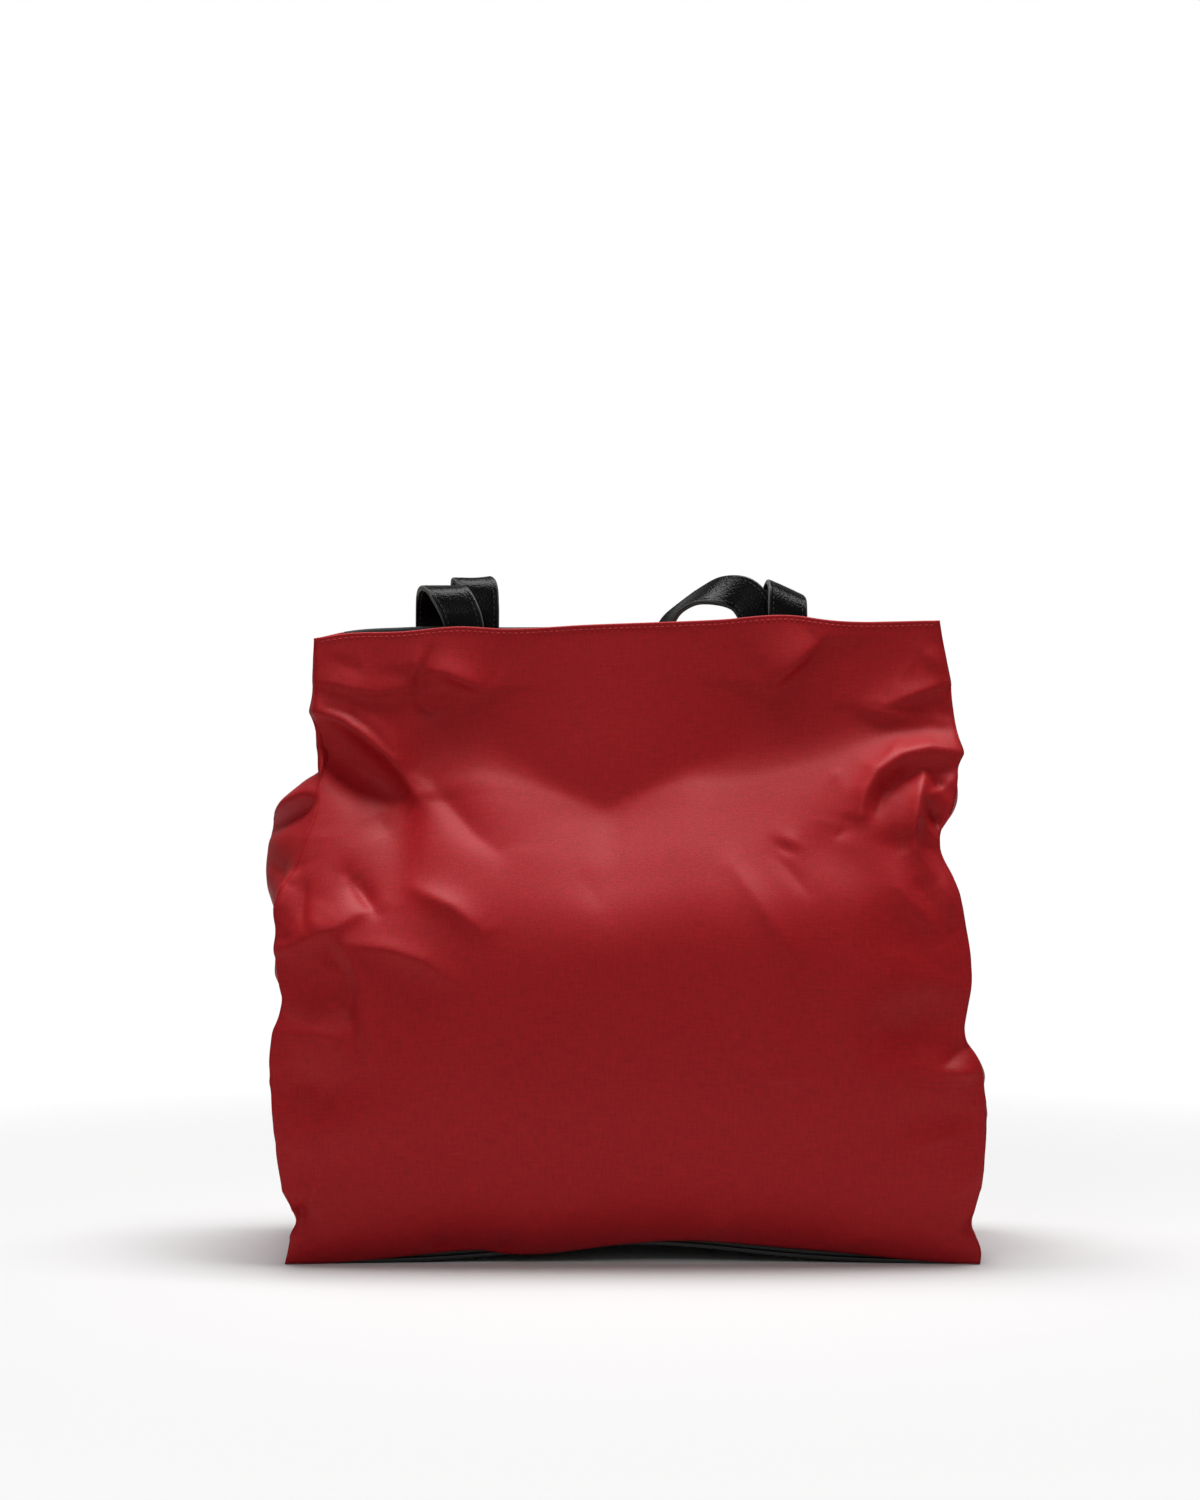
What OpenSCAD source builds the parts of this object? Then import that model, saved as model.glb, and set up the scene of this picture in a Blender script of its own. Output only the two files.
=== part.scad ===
// Foldable tote bag: sewn nylon walls on a leather base, with two leather strap handles.
// Millimetres. +Z is up and the origin is the middle of the base, on the surface that the bag
// stands on. +X is the wearer's right when looking at the front panel, and the front faces -Y.

/* [Bag] */
// Height of the mouth's edge above the floor
bag_h = 332; // [320:1:345]
// Width of the base, seam to seam
base_w = 352; // [340:1:360]
// Width of the mouth, seam to seam
mouth_w = 332; // [326:1:336]
// Depth of the bag, seam to seam, where it is deepest
bag_d = 132; // [124:1:134]
// Depth of the mouth over both walls
mouth_d = 31; // [30:0.5:34]
// How far each wall bellies out past its side seams
belly = 20; // [10:1:21]
// How far each gusset bulges out past the seams
gusset_bulge = 12; // [6:1:16]
// How far the front leans out below its hem, in the middle
top_lean = 16; // [16:0.5:22]
// How far each gusset tucks in at the mouth
gusset_tuck = 60; // [40:1:66]

/* [Cloth and leather] */
// Thickness of the nylon walls
wall_t = 1.2; // [0.8:0.1:1.2]
// Height of the black facing inside the mouth
facing_h = 44; // [38:1:46]
// Thickness of the facing
facing_t = 1.2; // [0.8:0.1:1.2]
// Thickness of the leather base
base_t = 1.8; // [1.5:0.1:2]
// Diameter of the piping round the base
piping_d = 3; // [2:0.1:3]

/* [Handles] */
// Width of the strap
strap_w = 21; // [16:0.5:21]
// Thickness of the strap, both leathers together
strap_t = 3.2; // [2.4:0.1:3.2]
// Thickness of the patch sewn over each strap's end
patch_t = 1.2; // [0.8:0.1:1.4]

/* [Snap] */
// Diameter of the magnetic snap's two halves
snap_d = 18; // [12:1:20]
// Thickness of each half
snap_t = 2.6; // [2:0.1:2.8]

/* [Hidden] */

nylon = "firebrick";
leather = [0.07, 0.07, 0.07];
facing_black = [0.11, 0.11, 0.12];
nickel = "silver";

// Clearances between pieces that are sewn or glued face to face
seam_gap = 0.4;
face_gap = 0.15;
facing_gap = 0.4;

// Heights of the stack at the foot: base leather, piping, then the walls
piping_z = base_t + face_gap + piping_d / 2;
wall_z = piping_z + piping_d / 2 + face_gap;

// How the bag's section changes from the base seam to the hem. Each row is a level:
// share of the height, share of the depth, share of the belly, share of the gusset's tuck
LEVELS = [
    [0.00, 0.84, -0.30, 0.00],
    [0.06, 0.92, 0.30, 0.00],
    [0.20, 1.00, 0.70, 0.00],
    [0.38, 0.96, 1.00, 0.00],
    [0.57, 0.80, 1.00, 0.00],
    [0.68, 0.61, 0.80, 0.00],
    [0.77, 0.33, 0.35, 0.20],
    [0.84, 0.13, 0.13, 0.58],
    [0.91, 0.05, 0.05, 0.86],
    [1.00, 0.00, 0.02, 1.00]
];
last_level = len(LEVELS) - 1;
steps_per_level = 2;
wall_columns = 18;
gusset_columns = 10;
facing_rows = 6;

// How the slack bag's side seams sway. Each row is a share of the height, where the seam is
// between the mouth's width at 0 and the base's at 1, and a share of the gusset's bulge
LEFT_SIDE = [
    [0.00, 1.0, 0.0],
    [0.06, 0.7, 0.1],
    [0.18, 1.4, 0.1],
    [0.27, 1.6, 0.1],
    [0.40, 1.3, 0.1],
    [0.51, 1.4, 0.4],
    [0.60, 0.8, 1.4],
    [0.66, 0.2, 1.9],
    [0.71, -0.3, 2.0],
    [0.77, -0.3, 1.2],
    [0.84, -0.2, 0.2],
    [1.00, 0.0, 0.0]
];
RIGHT_SIDE = [
    [0.00, 1.0, 0.0],
    [0.07, 1.3, 0.1],
    [0.14, 1.6, 0.1],
    [0.26, 1.6, 0.1],
    [0.36, 0.9, 0.1],
    [0.44, 1.0, 0.1],
    [0.54, 0.7, 0.1],
    [0.60, 0.2, 0.1],
    [0.66, -0.3, 0.1],
    [0.71, 0.3, 0.2],
    [0.77, 0.7, 0.2],
    [0.86, 0.6, 0.0],
    [0.92, 0.4, 0.0],
    [1.00, 0.0, 0.0]
];

// The line where the front's upright top breaks into its full shoulder drops to a point left of
// the middle. Each row is a place across, from -1 to 1, and the drop as a share of the height.
SHOULDER = [
    [-1.00, -0.05],
    [-0.75, -0.01],
    [-0.50, 0.03],
    [-0.28, 0.05],
    [-0.05, 0.07],
    [0.17, 0.04],
    [0.32, 0.03],
    [0.55, 0.01],
    [0.75, -0.03],
    [1.00, -0.05]
];
shoulder_from = [0.45, 0.70];
shoulder_to = [0.93, 0.81];

// Where the lean of the front is measured below the hem, how far down it goes on, and how wide
// it is across
lean_down = 0.25;
lean_end = 0.4;
lean_middle = -0.05;
lean_reach = 0.65;

// How flat the wall stays across before it rounds towards the seams
belly_power = 3;

// A smooth curve through rows of numbers, at row number s
function smooth_row(rows, s) =
    let (n = len(rows) - 1,
         i = min(floor(s), n - 1),
         t = s - i,
         a = rows[max(i - 1, 0)],
         b = rows[i],
         c = rows[i + 1],
         d = rows[min(i + 2, n)])
    0.5 * (2 * b + (c - a) * t + (2 * a - 5 * b + 4 * c - d) * t * t
           + (3 * b - a - 3 * c + d) * t * t * t);

// One column of a table, read at a place in its first column
function column(rows, number) = [for (row = rows) [row[0], row[number]]];
function read(rows, number, at) = lookup(at, column(rows, number));

// A soft step from 0 to 1 between two ends
function ease(at, ends) =
    let (t = min(1, max(0, (at - ends[0]) / (ends[1] - ends[0]))))
    t * t * (3 - 2 * t);

function level(s) = smooth_row(LEVELS, s);
function level_z(s) = wall_z + (bag_h - wall_z) * level(s)[0];
function seam_y(s) = mouth_d / 2 + (bag_d - mouth_d) / 2 * level(s)[1];

// How far out the left or right seam is at a level
function side_rows(side) = side < 0 ? LEFT_SIDE : RIGHT_SIDE;
function seam_x(side, s) =
    mouth_w / 2 + (base_w - mouth_w) / 2 * read(side_rows(side), 1, level(s)[0]);

// The level number at a height z, found by halving
function level_at(z, lo = 0, hi = last_level, turns = 24) =
    turns == 0 ? (lo + hi) / 2
    : let (mid = (lo + hi) / 2)
      level_z(mid) < z ? level_at(z, mid, hi, turns - 1) : level_at(z, lo, mid, turns - 1);

// How far out a wall is at a place across, u from -1 at the left seam to 1 at the right
function wall_depth(u, s) = seam_y(s) + belly * level(s)[2] * (1 - pow(abs(u), belly_power));

// The front wall reads a higher level where its shoulder drops, and leans out over it
function front_level(u, s) =
    let (v = level(s)[0],
         drop = read(SHOULDER, 1, u) * ease(v, shoulder_from) * ease(v, shoulder_to))
    level_at(wall_z + (bag_h - wall_z) * (v + drop));
function front_lean(u, s) =
    mouth_d / 2 + top_lean * min(1 - level(s)[0], lean_end) / lean_down
    * ease(abs(u - lean_middle), [lean_reach, 0]);
function front_depth(u, s) = max(wall_depth(u, front_level(u, s)), front_lean(u, s));

// A point on the outer face of the front wall or the back wall
function wall_x(u, s) = ((1 + u) * seam_x(1, s) - (1 - u) * seam_x(-1, s)) / 2;
function front_point(u, s) = [wall_x(u, s), -front_depth(u, s), level_z(s)];
function back_point(u, s) = [wall_x(u, s), wall_depth(u, s), level_z(s)];

// A point on the outer face of a gusset: u runs from -1 at the front to 1 at the back
function gusset_point(side, u, s) =
    let (tuck = level(s)[3],
         inset = wall_t * (1 + min(1, max(0, 3 * tuck))) + seam_gap,
         shape = 2 - min(1, max(0, 2 * tuck)) * 0.85,
         front_y = inset - front_depth(side, s),
         back_y = seam_y(s) - inset,
         out = gusset_bulge * read(side_rows(side), 2, level(s)[0]) - gusset_tuck * tuck)
    [side * (seam_x(side, s) + out * (1 - pow(abs(u), shape))),
     (front_y + back_y) / 2 + u * (back_y - front_y) / 2,
     level_z(s)];

// Levels from the base seam to the hem, and even steps across
function level_steps(first, last, count) = [for (k = [0:count]) first + (last - first) * k / count];
function across(columns, reach = 1) = [for (k = [0:columns]) reach * (2 * k / columns - 1)];

// The unit normal of a grid of points at row i and column j, by the points around it
function grid_normal(grid, i, j) =
    let (rows = len(grid) - 1,
         columns = len(grid[0]) - 1,
         along = grid[i][min(j + 1, columns)] - grid[i][max(j - 1, 0)],
         up = grid[min(i + 1, rows)][j] - grid[max(i - 1, 0)][j],
         n = cross(along, up))
    n / norm(n);

function grid_offset(grid, distance) =
    [for (i = [0:len(grid) - 1])
        [for (j = [0:len(grid[0]) - 1]) grid[i][j] - distance * grid_normal(grid, i, j)]];

function flatten(lists) = [for (part = lists) each part];

// A closed sheet of cloth behind a grid of points on its outer face
module sheet(grid, thickness, sunk = 0) {
    outer = sunk == 0 ? grid : grid_offset(grid, sunk);
    inner = grid_offset(grid, sunk + thickness);
    rows = len(grid) - 1;
    columns = len(grid[0]) - 1;
    wide = columns + 1;
    far = (rows + 1) * wide;
    function at(i, j) = i * wide + j;
    faces = flatten([
        for (i = [0:rows - 1]) for (j = [0:columns - 1]) [
            [at(i, j), at(i + 1, j + 1), at(i, j + 1)],
            [at(i, j), at(i + 1, j), at(i + 1, j + 1)],
            [far + at(i, j), far + at(i, j + 1), far + at(i + 1, j + 1)],
            [far + at(i, j), far + at(i + 1, j + 1), far + at(i + 1, j)]
        ],
        for (j = [0:columns - 1]) [
            [at(0, j), at(0, j + 1), far + at(0, j + 1), far + at(0, j)],
            [at(rows, j), far + at(rows, j), far + at(rows, j + 1), at(rows, j + 1)]
        ],
        for (i = [0:rows - 1]) [
            [at(i, 0), far + at(i, 0), far + at(i + 1, 0), at(i + 1, 0)],
            [at(i, columns), at(i + 1, columns), far + at(i + 1, columns), far + at(i, columns)]
        ]
    ]);
    polyhedron(concat(flatten(outer), flatten(inner)), faces, convexity = 6);
}

// Grids of points, each with its columns in the order that faces it outwards
function front_grid(first, last, rows, reach = 1) =
    [for (s = level_steps(first, last, rows)) [for (u = across(wall_columns, reach)) front_point(u, s)]];
function back_grid(first, last, rows, reach = 1) =
    [for (s = level_steps(first, last, rows)) [for (u = across(wall_columns, reach)) back_point(-u, s)]];
function gusset_grid(side) =
    [for (s = level_steps(0, last_level, last_level * steps_per_level))
        [for (u = across(gusset_columns)) gusset_point(side, side * u, s)]];

module front_panel() {
    color(nylon) sheet(front_grid(0, last_level, last_level * steps_per_level), wall_t);
}

module back_panel() {
    color(nylon) sheet(back_grid(0, last_level, last_level * steps_per_level), wall_t);
}

module left_gusset() {
    color(nylon) sheet(gusset_grid(-1), wall_t);
}

module right_gusset() {
    color(nylon) sheet(gusset_grid(1), wall_t);
}

// A facing is sewn inside the mouth of each wall, clear of the tucked gussets at both ends
facing_reach = 0.94;
facing_from = level_at(bag_h - facing_h);

module front_facing() {
    color(facing_black)
        sheet(front_grid(facing_from, last_level, facing_rows, facing_reach), facing_t, wall_t + facing_gap);
}

module back_facing() {
    color(facing_black)
        sheet(back_grid(facing_from, last_level, facing_rows, facing_reach), facing_t, wall_t + facing_gap);
}

// Outline of the base: long sides waisted like the walls' lower seams, with round corners
corner_r = 10;
corner_steps = 5;
side_steps = 12;
base_half_w = base_w / 2;
base_half_d = seam_y(0);
base_waist = -belly * LEVELS[0][2];

function base_corner(sx, sy, from, r) =
    [for (k = [0:corner_steps])
        let (a = from + 90 * k / corner_steps)
        [sx * (base_half_w - corner_r) + r * cos(a), sy * (base_half_d - corner_r) + r * sin(a)]];

function base_side(sy, inset) =
    [for (k = [1:side_steps - 1])
        let (u = 1 - 2 * k / side_steps)
        [sy * u * (base_half_w - corner_r), sy * (base_half_d - inset - base_waist * (1 - u * u))]];

function base_outline(inset) =
    concat(base_corner(1, 1, 0, corner_r - inset), base_side(1, inset),
           base_corner(-1, 1, 90, corner_r - inset), base_corner(-1, -1, 180, corner_r - inset),
           base_side(-1, inset), base_corner(1, -1, 270, corner_r - inset));

module base_panel() {
    color(leather) linear_extrude(base_t) polygon(base_outline(0.5));
}

// Nylon glued over the inside of the base leather, within the piping
lining_t = 0.8;

module base_lining() {
    color(facing_black)
        translate([0, 0, base_t + face_gap])
            linear_extrude(lining_t) polygon(base_outline(piping_d + 1));
}

// Leather piping: a round cord's cover sewn into the seam all round the base
piping_sides = 8;

module base_piping() {
    line = base_outline(piping_d / 2);
    count = len(line);
    rings = [for (i = [0:count - 1])
        let (way = line[(i + 1) % count] - line[(i + count - 1) % count],
             out = [way[1], -way[0]] / norm(way))
        [for (k = [0:piping_sides - 1])
            let (a = 360 * k / piping_sides)
            [line[i][0] + piping_d / 2 * cos(a) * out[0],
             line[i][1] + piping_d / 2 * cos(a) * out[1],
             piping_z + piping_d / 2 * sin(a)]]];
    faces = [for (i = [0:count - 1]) for (k = [0:piping_sides - 1])
        let (n = (i + 1) % count * piping_sides, m = (k + 1) % piping_sides)
        each [[i * piping_sides + k, i * piping_sides + m, n + m],
              [i * piping_sides + k, n + m, n + k]]];
    color(leather) polyhedron(flatten(rings), faces, convexity = 4);
}

// Each handle is one strap. A row of its route is a point on the strap's middle line and the
// way that the strap's width points there. It starts sewn inside the mouth on the left, bends
// over the mouth, hangs in a loop behind the bag, and comes back to the mouth on the right.
FRONT_ROUTE = [
    [-86, -14, 298, 1, 0, 0],
    [-86, -11, 328, 1, 0, 0],
    [-89, -10, 340, 1, 0, 0],
    [-95, -4, 350, 1, 0, 0],
    [-100, 7, 353, 1, 0, 0],
    [-103, 19, 350, 1, 0, 0],
    [-104, 27, 340, 1, 0, 0],
    [-104, 29, 320, 1, 0, 0],
    [-104, 34, 284, 1, 0, 0],
    [-103, 50, 252, 1, 0, 0],
    [-101, 69, 221, 1, 0, 0],
    [-97, 80, 186, 1, 0.2, 0],
    [-84, 90, 152, 0.8, 0.6, 0],
    [-50, 98, 129, 0.3, 1, 0],
    [-10, 99, 121, 0, 1, 0],
    [30, 98, 129, -0.3, 1, 0],
    [64, 92, 152, -0.8, 0.6, 0],
    [77, 82, 186, -1, 0.2, 0],
    [81, 71, 221, -1, 0, 0],
    [83, 52, 252, -1, 0, 0],
    [84, 35, 284, -1, 0, 0],
    [84, 29, 320, -1, 0, 0],
    [84, 27, 340, -1, 0, 0],
    [84, 19, 349, -1, 0, 0.1],
    [85, 7, 353, -1, 0, 0.2],
    [86, -4, 350, -1, 0, 0.15],
    [86, -10, 340, -1, 0, 0],
    [86, -11, 328, -1, 0, 0],
    [86, -14, 298, -1, 0, 0]
];
front_loop = [6, 22];

BACK_ROUTE = [
    [-80, 14, 298, 1, 0, 0],
    [-79, 11, 330, 1, 0, 0],
    [-79, 12, 344, 1, 0, 0],
    [-80, 16, 354, 1, 0, 0],
    [-84, 23, 358, 1, 0, 0],
    [-85, 30, 354, 1, 0, 0],
    [-83, 34, 343, 1, 0, 0],
    [-80, 34, 320, 1, 0, 0],
    [-78, 37, 286, 1, 0, 0],
    [-74, 53, 254, 1, 0, 0],
    [-67, 72, 222, 1, 0.2, 0],
    [-54, 87, 192, 0.8, 0.6, 0],
    [-38, 94, 172, 0.3, 1, 0],
    [-18, 96, 165, 0, 1, 0],
    [2, 94, 172, -0.3, 1, 0],
    [18, 87, 192, -0.8, 0.6, 0],
    [25, 73, 222, -1, 0.2, 0],
    [28, 53, 254, -1, 0, 0],
    [28, 38, 286, -1, 0.2, 0],
    [24, 36, 320, -0.7, 0.7, 0],
    [22, 35, 334, -0.4, 0.9, 0.1],
    [28, 31, 345, -0.2, 0.9, 0.2],
    [39, 25, 351, 0, 0.8, 0.4],
    [51, 20, 352, 0.2, 0.7, 0.6],
    [62, 15, 347, 0.5, 0.4, 0.7],
    [69, 12, 338, 0.8, 0.1, 0.5],
    [75, 11, 326, 1, 0, 0.1],
    [76, 14, 298, 1, 0, 0]
];
back_loop = [6, 20];
steps_per_row = 3;

function route_way(route, s) =
    let (way = smooth_row(route, min(s + 0.05, len(route) - 1)) - smooth_row(route, max(s - 0.05, 0)),
         v = [way[0], way[1], way[2]])
    v / norm(v);

// A ring of the strap at row number s, from low to high through its thickness
function strap_ring(route, s, width, low, high) =
    let (row = smooth_row(route, s),
         middle = [row[0], row[1], row[2]],
         way = route_way(route, s),
         loose = [row[3], row[4], row[5]],
         straight = loose - (loose * way) * way,
         side = straight / norm(straight) * width / 2,
         through = cross(way, straight / norm(straight)))
    [middle - side + low * through, middle + side + low * through,
     middle + side + high * through, middle - side + high * through];

// The stretch of a strap between two rows of its route
module strap(route, first, last, width, low, high) {
    count = round((last - first) * steps_per_row);
    rings = [for (s = level_steps(first, last, count)) strap_ring(route, s, width, low, high)];
    end = 4 * count;
    faces = concat(
        [[0, 1, 2, 3], [end + 3, end + 2, end + 1, end]],
        [for (i = [0:count - 1])
            let (a = 4 * i, b = a + 4)
            each [[a, b + 1, a + 1], [a, b, b + 1],
                  [a + 1, b + 2, a + 2], [a + 1, b + 1, b + 2],
                  [a + 3, a + 2, b + 2], [a + 3, b + 2, b + 3],
                  [a + 3, b, a], [a + 3, b + 3, b]]]);
    polyhedron(flatten(rings), faces, convexity = 8);
}

module whole_strap(route, first, last) {
    strap(route, first, last, strap_w, -strap_t / 2, strap_t / 2);
}

module front_handle_left_end() {
    color(leather) whole_strap(FRONT_ROUTE, 0, front_loop[0]);
}

module front_handle_right_end() {
    color(leather) whole_strap(FRONT_ROUTE, front_loop[1], len(FRONT_ROUTE) - 1);
}

module back_handle_left_end() {
    color(leather) whole_strap(BACK_ROUTE, 0, back_loop[0]);
}

module back_handle_right_end() {
    color(leather) whole_strap(BACK_ROUTE, back_loop[1], len(BACK_ROUTE) - 1);
}

// The loops are two leathers, with the face leather outside and the backing inside. A small
// share of a row is left between a strap's sewn end and its loop.
layer_gap = 0.03;
loop_start_gap = 0.02;

module loop_leather(route, loop, low, high) {
    strap(route, loop[0] + loop_start_gap, loop[1] - loop_start_gap, strap_w, low, high);
}

module front_handle_strap() {
    color(leather) loop_leather(FRONT_ROUTE, front_loop, -strap_t / 2, -layer_gap);
}

module front_handle_backing() {
    color(leather) loop_leather(FRONT_ROUTE, front_loop, layer_gap, strap_t / 2);
}

module back_handle_strap() {
    color(leather) loop_leather(BACK_ROUTE, back_loop, -strap_t / 2, -layer_gap);
}

module back_handle_backing() {
    color(leather) loop_leather(BACK_ROUTE, back_loop, layer_gap, strap_t / 2);
}

// Leather patches sewn over the strap's ends, inside the mouth. The side of the strap that
// looks into the mouth is 1 or -1 at each end of its route.
patch_w = 30;
patch_reach = 0.75;
patch_low = strap_t / 2 + face_gap;

module anchor_patch(route, first, last, side) {
    near = side * patch_low;
    far = near + side * patch_t;
    strap(route, first, last, patch_w, min(near, far), max(near, far));
}

module anchor_patches(route, left_side, right_side) {
    last = len(route) - 1;
    anchor_patch(route, 0, patch_reach, left_side);
    anchor_patch(route, last - patch_reach, last, right_side);
}

module front_anchor_patches() {
    color(leather) anchor_patches(FRONT_ROUTE, 1, 1);
}

module back_anchor_patches() {
    color(leather) anchor_patches(BACK_ROUTE, -1, 1);
}

// The magnetic snap: two capped discs with rolled rims, each seated flat on its facing, which
// leans in a little towards the hem
snap_z = bag_h - 22;
snap_boss_d = 7;
snap_boss_h = 1.4;
snap_rim = 0.8;

// How far a facing's inner face is from the middle of the mouth, on the front or the back, at
// the place across the snap where it comes in most
snap_places = [-snap_d / mouth_w, 0, snap_d / mouth_w];
function facing_depth(front, z) =
    let (s = level_at(z))
    min([for (u = snap_places) front ? front_depth(u, s) : wall_depth(u, s)])
    - wall_t - facing_gap - facing_t - 2 * face_gap;
function snap_low(front) = facing_depth(front, snap_z - snap_d / 2);
function snap_high(front) = facing_depth(front, snap_z + snap_d / 2);
function snap_lean(front) = atan((snap_low(front) - snap_high(front)) / snap_d);
function snap_y(front) = min(facing_depth(front, snap_z), (snap_low(front) + snap_high(front)) / 2);

// Half the section of one snap half: a boss stands out of the stud and sinks into the socket
function snap_outline(boss) =
    let (boss_r = snap_boss_d / 2 + (boss < 0 ? 0.4 : 0))
    [[0, 0], [snap_d / 2, 0], [snap_d / 2, snap_t - snap_rim], [snap_d / 2 - snap_rim, snap_t],
     [boss_r, snap_t], [boss_r, snap_t + boss], [0, snap_t + boss]];

module snap_half(front, boss) {
    translate([0, snap_y(front), snap_z])
        rotate([90 + snap_lean(front), 0, 0])
            rotate_extrude($fn = 48) polygon(snap_outline(boss));
}

module snap_socket() {
    color(nickel) rotate([0, 0, 180]) snap_half(true, -snap_boss_h);
}

module snap_stud() {
    color(nickel) snap_half(false, snap_boss_h);
}

front_panel();
back_panel();
left_gusset();
right_gusset();
base_panel();
base_lining();
base_piping();
front_facing();
back_facing();
front_handle_left_end();
front_handle_right_end();
back_handle_left_end();
back_handle_right_end();
front_handle_strap();
front_handle_backing();
back_handle_strap();
back_handle_backing();
front_anchor_patches();
back_anchor_patches();
snap_socket();
snap_stud();
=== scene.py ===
import math

import bpy
import numpy as np
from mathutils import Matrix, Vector


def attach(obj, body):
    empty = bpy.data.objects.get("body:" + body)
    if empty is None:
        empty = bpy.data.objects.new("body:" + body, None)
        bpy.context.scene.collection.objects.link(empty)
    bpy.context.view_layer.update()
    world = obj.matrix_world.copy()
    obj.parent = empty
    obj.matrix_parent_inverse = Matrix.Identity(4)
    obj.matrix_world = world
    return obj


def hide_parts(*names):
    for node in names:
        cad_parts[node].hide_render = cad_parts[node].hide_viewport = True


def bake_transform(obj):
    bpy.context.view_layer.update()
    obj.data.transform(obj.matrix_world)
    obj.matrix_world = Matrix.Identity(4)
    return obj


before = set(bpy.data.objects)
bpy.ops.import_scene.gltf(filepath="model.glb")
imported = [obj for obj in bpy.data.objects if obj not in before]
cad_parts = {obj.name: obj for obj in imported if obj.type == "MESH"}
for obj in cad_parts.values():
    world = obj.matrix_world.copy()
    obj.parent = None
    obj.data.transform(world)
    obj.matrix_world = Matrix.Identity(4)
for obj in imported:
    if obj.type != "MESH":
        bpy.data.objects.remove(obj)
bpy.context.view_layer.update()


# The base: one piece of black leather, cut to the bag's foot with round corners. It folded
# along its middle when the bag was put away, so it has risen there and stands on both ends.
# Sizes here and below are in millimetres, and MM makes metres of them.
MM = 0.001
BASE_HALF_W = 175.5
BASE_HALF_D = 57.4
BASE_CORNER = 9.5
BASE_WAIST = 6.0
BASE_T = 1.8
BASE_EDGE_ROUND = 0.5
BASE_ROWS = 25
BASE_COLUMNS = 121
ARCH_RISE = 9.0
ARCH_MIDDLE = 5.0
ARCH_REACH = 75.0

scene = bpy.context.scene


def arch(x):
    """How far the base has risen at a place across."""
    return ARCH_RISE * np.exp(-(((x - ARCH_MIDDLE) / ARCH_REACH) ** 2))


def base_edge(x, inset=0.0):
    """Half the depth of the base at a place across."""
    straight = BASE_HALF_W - BASE_CORNER
    past = np.clip(np.abs(x) - straight, 0, BASE_CORNER - inset)
    side = BASE_HALF_D - inset - BASE_WAIST * (1 - np.clip(np.abs(x) / straight, 0, 1) ** 2)
    radius = BASE_CORNER - inset
    return side - radius + np.sqrt(np.clip(radius**2 - past**2, 0, None))


def put_in_scene(name, data):
    """A new object for a mesh, a lamp or a camera, put into the scene."""
    piece = bpy.data.objects.new(name, data)
    scene.collection.objects.link(piece)
    return piece


def mesh_object(name, points, faces, material):
    """A smooth mesh object from points in millimetres."""
    mesh = bpy.data.meshes.new(name)
    mesh.from_pydata((points.reshape(-1, 3) * MM).tolist(), [], faces)
    mesh.polygons.foreach_set("use_smooth", np.ones(len(mesh.polygons), bool))
    mesh.materials.append(material)
    return put_in_scene(name, mesh)


def along_line(line):
    """How far along a line of points each of them lies."""
    return np.cumsum(np.r_[0, np.linalg.norm(np.diff(line, axis=0), axis=1)])


def grid_object(name, grid, material):
    """A sheet from a grid of points in millimetres, with a UV map in metres of cloth."""
    rows, columns = grid.shape[:2]
    first = (np.arange(rows - 1)[:, None] * columns + np.arange(columns - 1)[None, :]).ravel()
    faces = np.stack([first, first + 1, first + columns + 1, first + columns], axis=1)
    piece = mesh_object(name, grid, faces.tolist(), material)
    across = along_line(grid[rows // 2]) * MM
    up = along_line(grid[:, columns // 2]) * MM
    corner = faces.ravel()
    uv = np.stack([across[corner % columns], up[corner // columns]], axis=1)
    piece.data.uv_layers.new(name="cloth").data.foreach_set("uv", uv.ravel())
    return piece


def base_sheet(name, inset, top, material):
    """A sheet with the base's outline, set in from its edge, with its upper face some way up."""
    x = BASE_HALF_W * np.sin(np.linspace(-1, 1, BASE_COLUMNS) * np.pi / 2)
    x *= (BASE_HALF_W - inset) / BASE_HALF_W
    grid = np.zeros((BASE_ROWS, BASE_COLUMNS, 3))
    grid[..., 0] = x[None, :]
    grid[..., 1] = np.linspace(-1, 1, BASE_ROWS)[:, None] * base_edge(x, inset)[None, :]
    grid[..., 2] = arch(x)[None, :] + top
    return grid_object(name, grid, material)


def thicken(piece, thickness, rounded=0.0):
    """Give a sheet its thickness, inwards from the face that was drawn."""
    wall = piece.modifiers.new("thickness", "SOLIDIFY")
    wall.thickness = thickness * MM
    wall.offset = -1
    if rounded:
        edge = piece.modifiers.new("edge", "BEVEL")
        edge.width = rounded * MM
        edge.segments = 2
        edge.limit_method = "ANGLE"
        edge.angle_limit = math.radians(60)


def new_material(name):
    """A new material, with its node tree and its main shader."""
    made = bpy.data.materials.new(name)
    made.use_nodes = True
    return made, made.node_tree, made.node_tree.nodes["Principled BSDF"]


def add_node(tree, kind, values=None, **settings):
    """A new node with its settings, and the values of its unlinked inputs."""
    made = tree.nodes.new(kind)
    for key, value in settings.items():
        setattr(made, key, value)
    for key, value in (values or {}).items():
        made.inputs[key].default_value = value
    return made


def noise_over(tree, place, scale, detail, roughness=0.5):
    """Soft noise over a surface, as a factor."""
    values = {"Scale": scale, "Detail": detail, "Roughness": roughness}
    noise = add_node(tree, "ShaderNodeTexNoise", values)
    tree.links.new(place, noise.inputs["Vector"])
    return noise.outputs["Fac"]


def shade_between(tree, factor, dark, light):
    """A colour that goes from dark to light with a factor."""
    shade = add_node(tree, "ShaderNodeMix", data_type="RGBA")
    shade.inputs["A"].default_value = (*dark, 1)
    shade.inputs["B"].default_value = (*light, 1)
    tree.links.new(factor, shade.inputs["Factor"])
    return shade.outputs["Result"]


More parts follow.
